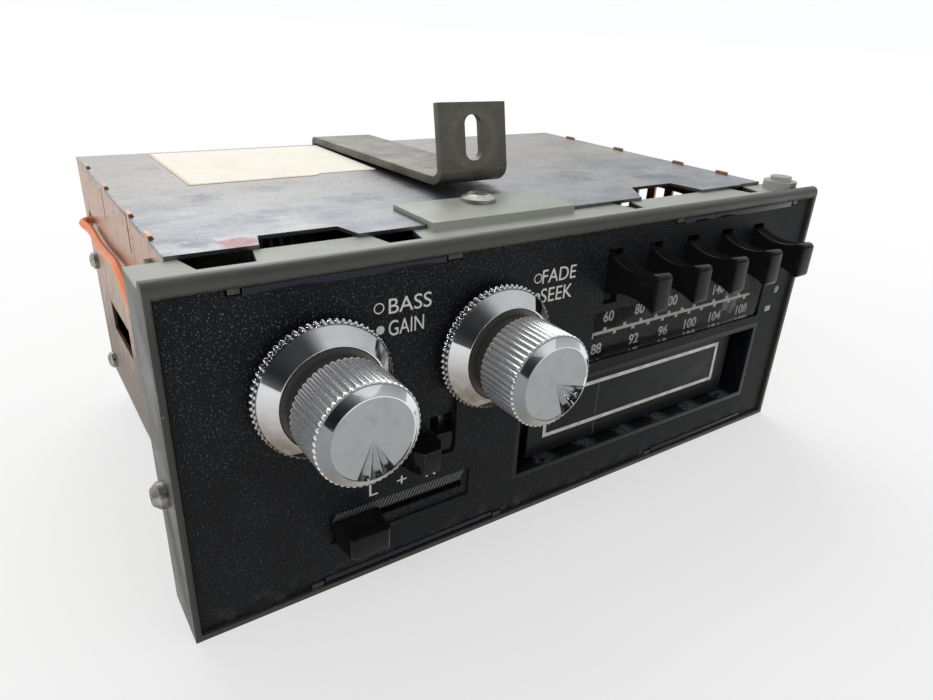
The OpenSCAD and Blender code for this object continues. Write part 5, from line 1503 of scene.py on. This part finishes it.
@dataclass
class Dial:
    """Lens, printed scale, tray, lamps and pointer."""

    scale: Print = field(default_factory=lambda: Print(3.53, 0.04, 0.022))
    upper: tuple[tuple[str, float, float], ...] = (
        ("60", 19.3, 4.3), ("80", 32.8, 4.3), ("100", 47.4, 6.0), ("120", 60.2, 6.0),
        ("140", 71.8, 6.0), ("160", 82.4, 6.0),
    )
    lower: tuple[tuple[str, float, float], ...] = (
        ("88", 15.7, 4.4), ("92", 32.1, 4.4), ("96", 45.9, 4.5), ("100", 59.5, 6.2),
        ("104", 72.6, 6.2), ("108", 87.6, 6.2),
    )
    upper_z: float = 55.6
    lower_z: float = 45.4
    figure_h: float = 3.6
    bar_x: Point = (12.7, 90.4)
    bar_z: Point = (51.9, 52.9)
    up_ticks: tuple[float, ...] = (18.3, 26.9, 34.2, 41.2, 47.3, 53.8, 59.9, 70.2, 77.2, 84.0)
    down_ticks: tuple[float, ...] = (
        13.1, 22.8, 30.9, 37.9, 44.7, 51.3, 57.8, 64.3, 71.2, 79.0, 87.8
    )
    tick_w: float = 1.3
    tick_h: float = 0.95
    lens_edge: float = 0.35

    def build(self) -> None:
        """Prints the scale and dresses the dial."""
        soften("dial_lens", self.lens_edge, Clear("smoked_lens"))
        dress(Plastic("tray_dark", (0.013, 0.0125, 0.012), roughness=0.55, dust=0.3), "dial_scale")
        dress(Clear("lamp_glass", (0.9, 0.88, 0.8), 0.03, 0.05), "dial_lamps")
        ink = Plastic("scale_print", (0.92, 0.92, 0.88), roughness=0.55, dust=0.0, edge=0.02)
        white = ink.build()
        rows = ((self.upper, self.upper_z, "upper"), (self.lower, self.lower_z, "lower"))
        for figures, z, row in rows:
            parts = [self.scale.letters(t, x - w / 2, z, self.figure_h, w) for t, x, w in figures]
            add_piece(merged(parts), f"scale_figures_{row}", white)
        add_piece(self._bar(), "scale_bar", white)
        pale = Plastic("pointer_pale", (0.30, 0.31, 0.35), roughness=0.3, dust=0.3, edge=0.1)
        dress(pale, "dial_pointer")

    def _bar(self) -> bmesh.types.BMesh:
        """Makes the bar between the two rows of figures, with its ticks."""
        mesh = bmesh.new()
        front, half = self.scale.front, self.tick_w / 2
        back = front + self.scale.thick
        (left, right), (low, high) = self.bar_x, self.bar_z
        bar(mesh, (left, front, low), (right, back, high))
        for x in self.up_ticks:
            bar(mesh, (x - half, front, high), (x + half, back, high + self.tick_h))
        for x in self.down_ticks:
            bar(mesh, (x - half, front, low - self.tick_h), (x + half, back, low))
        return mesh


@dataclass
class TapeSlot:
    """Bezel, door and the cartridge's way in."""

    outline_x: Point = (-2.0, 79.4)
    outline_z: Point = (20.3, 35.5)
    line: float = 1.3
    door_front: float = 4.3
    foil: float = 0.06
    seam_x: Point = (20.0, 20.25)
    seam_z: Point = (14.8, 20.29)
    seam_rise: float = 0.03
    bezel_edge: float = 0.3
    door_edge: float = 0.2

    def build(self) -> None:
        """Dresses the slot and lays the silver outline on its door."""
        soften("slot_bezel", self.bezel_edge, SillGloss("bezel_black"))
        satin = Plastic("door_black", (0.0085, 0.0095, 0.0095), roughness=0.34, spread=0.15,
                        dust=0.06, specular=0.16)
        soften("tape_door", self.door_edge, satin)
        dress(Metal("pin_steel", (0.6, 0.6, 0.6), stretch=(12.0, 1.0, 1.0)), "door_hinge_pin")
        self._outline()
        self._seam()

    def _outline(self) -> None:
        """Makes the thin silver frame on the door."""
        front, back = self.door_front - self.foil, self.door_front
        (left, right), (low, high) = self.outline_x, self.outline_z
        mesh = bmesh.new()
        for z in (low, high - self.line):
            bar(mesh, (left, front, z), (right, back, z + self.line))
        for x in (left, right - self.line):
            bar(mesh, (x, front, low + self.line), (x + self.line, back, high - self.line))
        foil = Metal("silver_foil", (0.62, 0.61, 0.56), (0.36, 0.34, 0.30), roughness=0.42,
                     patch=4.0, metallic=0.35)
        add_piece(mesh, "door_outline", foil.build(), Body.DOOR)

    def _seam(self) -> None:
        """Makes the hairline that crosses the door, broken by the frame."""
        mesh = bmesh.new()
        front, (left, right) = self.door_front - self.seam_rise, self.seam_x
        inside = (self.outline_z[0] + self.line, self.outline_z[1] - self.line)
        for low, high in (self.seam_z, inside):
            bar(mesh, (left, front, low), (right, self.door_front, high))
        hair = Plastic("hairline", (0.09, 0.088, 0.085), roughness=0.4, dust=0.2, edge=0.02)
        add_piece(mesh, "door_hairline", hair.build(), Body.DOOR)


@dataclass
class Case:
    """Walls, covers, strap, label, screws and the lead on the left side."""

    strap_edge: float = 0.3

    def build(self) -> None:
        """Dresses the case."""
        dress(WallSteel("coppery_wall"), "chassis")
        dress(CoverSheet("cloudy_zinc"), "top_cover")
        floor = Metal("floor_zinc", (0.44, 0.46, 0.48), (0.26, 0.27, 0.28), patch=14.0)
        dress(floor, "bottom_cover")
        soften("support_strap", self.strap_edge, StrapSteel("phosphate_strap"))
        screws = Metal("screw_zinc", (0.46, 0.46, 0.43), (0.16, 0.14, 0.11), patch=6.0, share=0.8)
        dress(screws, "housing_screws")
        dress(Paper("aged_paper"), "paper_label")
        lead = Plastic("orange_lead", (0.86, 0.27, 0.11), roughness=0.42, dust=0.35, grain=0.9,
                       depth=0.01)
        dress(lead, "hookup_wire")
        dress(Metal("socket_plate", (0.58, 0.58, 0.56)), "rear_sockets")
        dress(Metal("sink_aluminium", (0.52, 0.53, 0.53), patch=20.0), "heat_sink")


@dataclass
class Works:
    """The tape drive, tuner and electronics inside."""

    zinc: Rgb = (0.50, 0.51, 0.49)
    dull: Rgb = (0.28, 0.27, 0.24)
    bronze: Rgb = (0.45, 0.30, 0.12)
    ivory: Rgb = (0.55, 0.51, 0.40)

    def build(self) -> None:
        """Dresses what the case holds."""
        dress(Metal("works_zinc", self.zinc, self.dull, patch=15.0), "deck_plate",
              "cartridge_guide", "tuner_frame", "cam_bracket", "cam_plate", "pawl_arm")
        dress(Metal("bright_rod", (0.62, 0.62, 0.61), stretch=(14.0, 1.0, 1.0)), "pointer_rail")
        dress(Metal("oiled_bronze", self.bronze, (0.16, 0.10, 0.05)), "capstan_bearing",
              "motor_pulley")
        dress(Metal("turned_iron", (0.36, 0.35, 0.33), (0.20, 0.17, 0.14)), "flywheel")
        dress(Metal("motor_can", (0.44, 0.45, 0.46), (0.25, 0.24, 0.22), patch=18.0), "motor")
        dress(Metal("plunger_steel", (0.6, 0.6, 0.6), stretch=(10.0, 1.0, 1.0)),
              "solenoid_plunger")
        dress(Metal("cast_aluminium", (0.55, 0.56, 0.56), grain=0.8, depth=0.02), "head_carriage")
        dress(Plastic("belt_rubber", (0.02, 0.019, 0.018), roughness=0.7, dust=0.5), "drive_belt")
        dress(Plastic("moulded_ivory", self.ivory, roughness=0.4), "core_carriage", "head_cam")
        dress(Winding("coil_wire"), "tuning_coils")
        dress(Winding("solenoid_wire", (0.30, 0.13, 0.04), pitch=0.4, along="x"), "solenoid")
        dress(Plastic("board_laminate", (0.17, 0.10, 0.035), roughness=0.5, grain=1.2, dust=0.4),
              "main_board")
        dress(Mixed("board_colours"), "board_parts")


def main() -> None:
    """Builds the studio and dresses the radio, one sub-assembly after the other."""
    logging.basicConfig(level=logging.INFO, format="%(name)s %(message)s")
    for assembly in (Studio(), Front(), Knobs(), Controls(), Dial(), TapeSlot(), Case(), Works()):
        LOG.info("building %s", type(assembly).__name__)
        assembly.build()


if __name__ == "__main__":
    main()
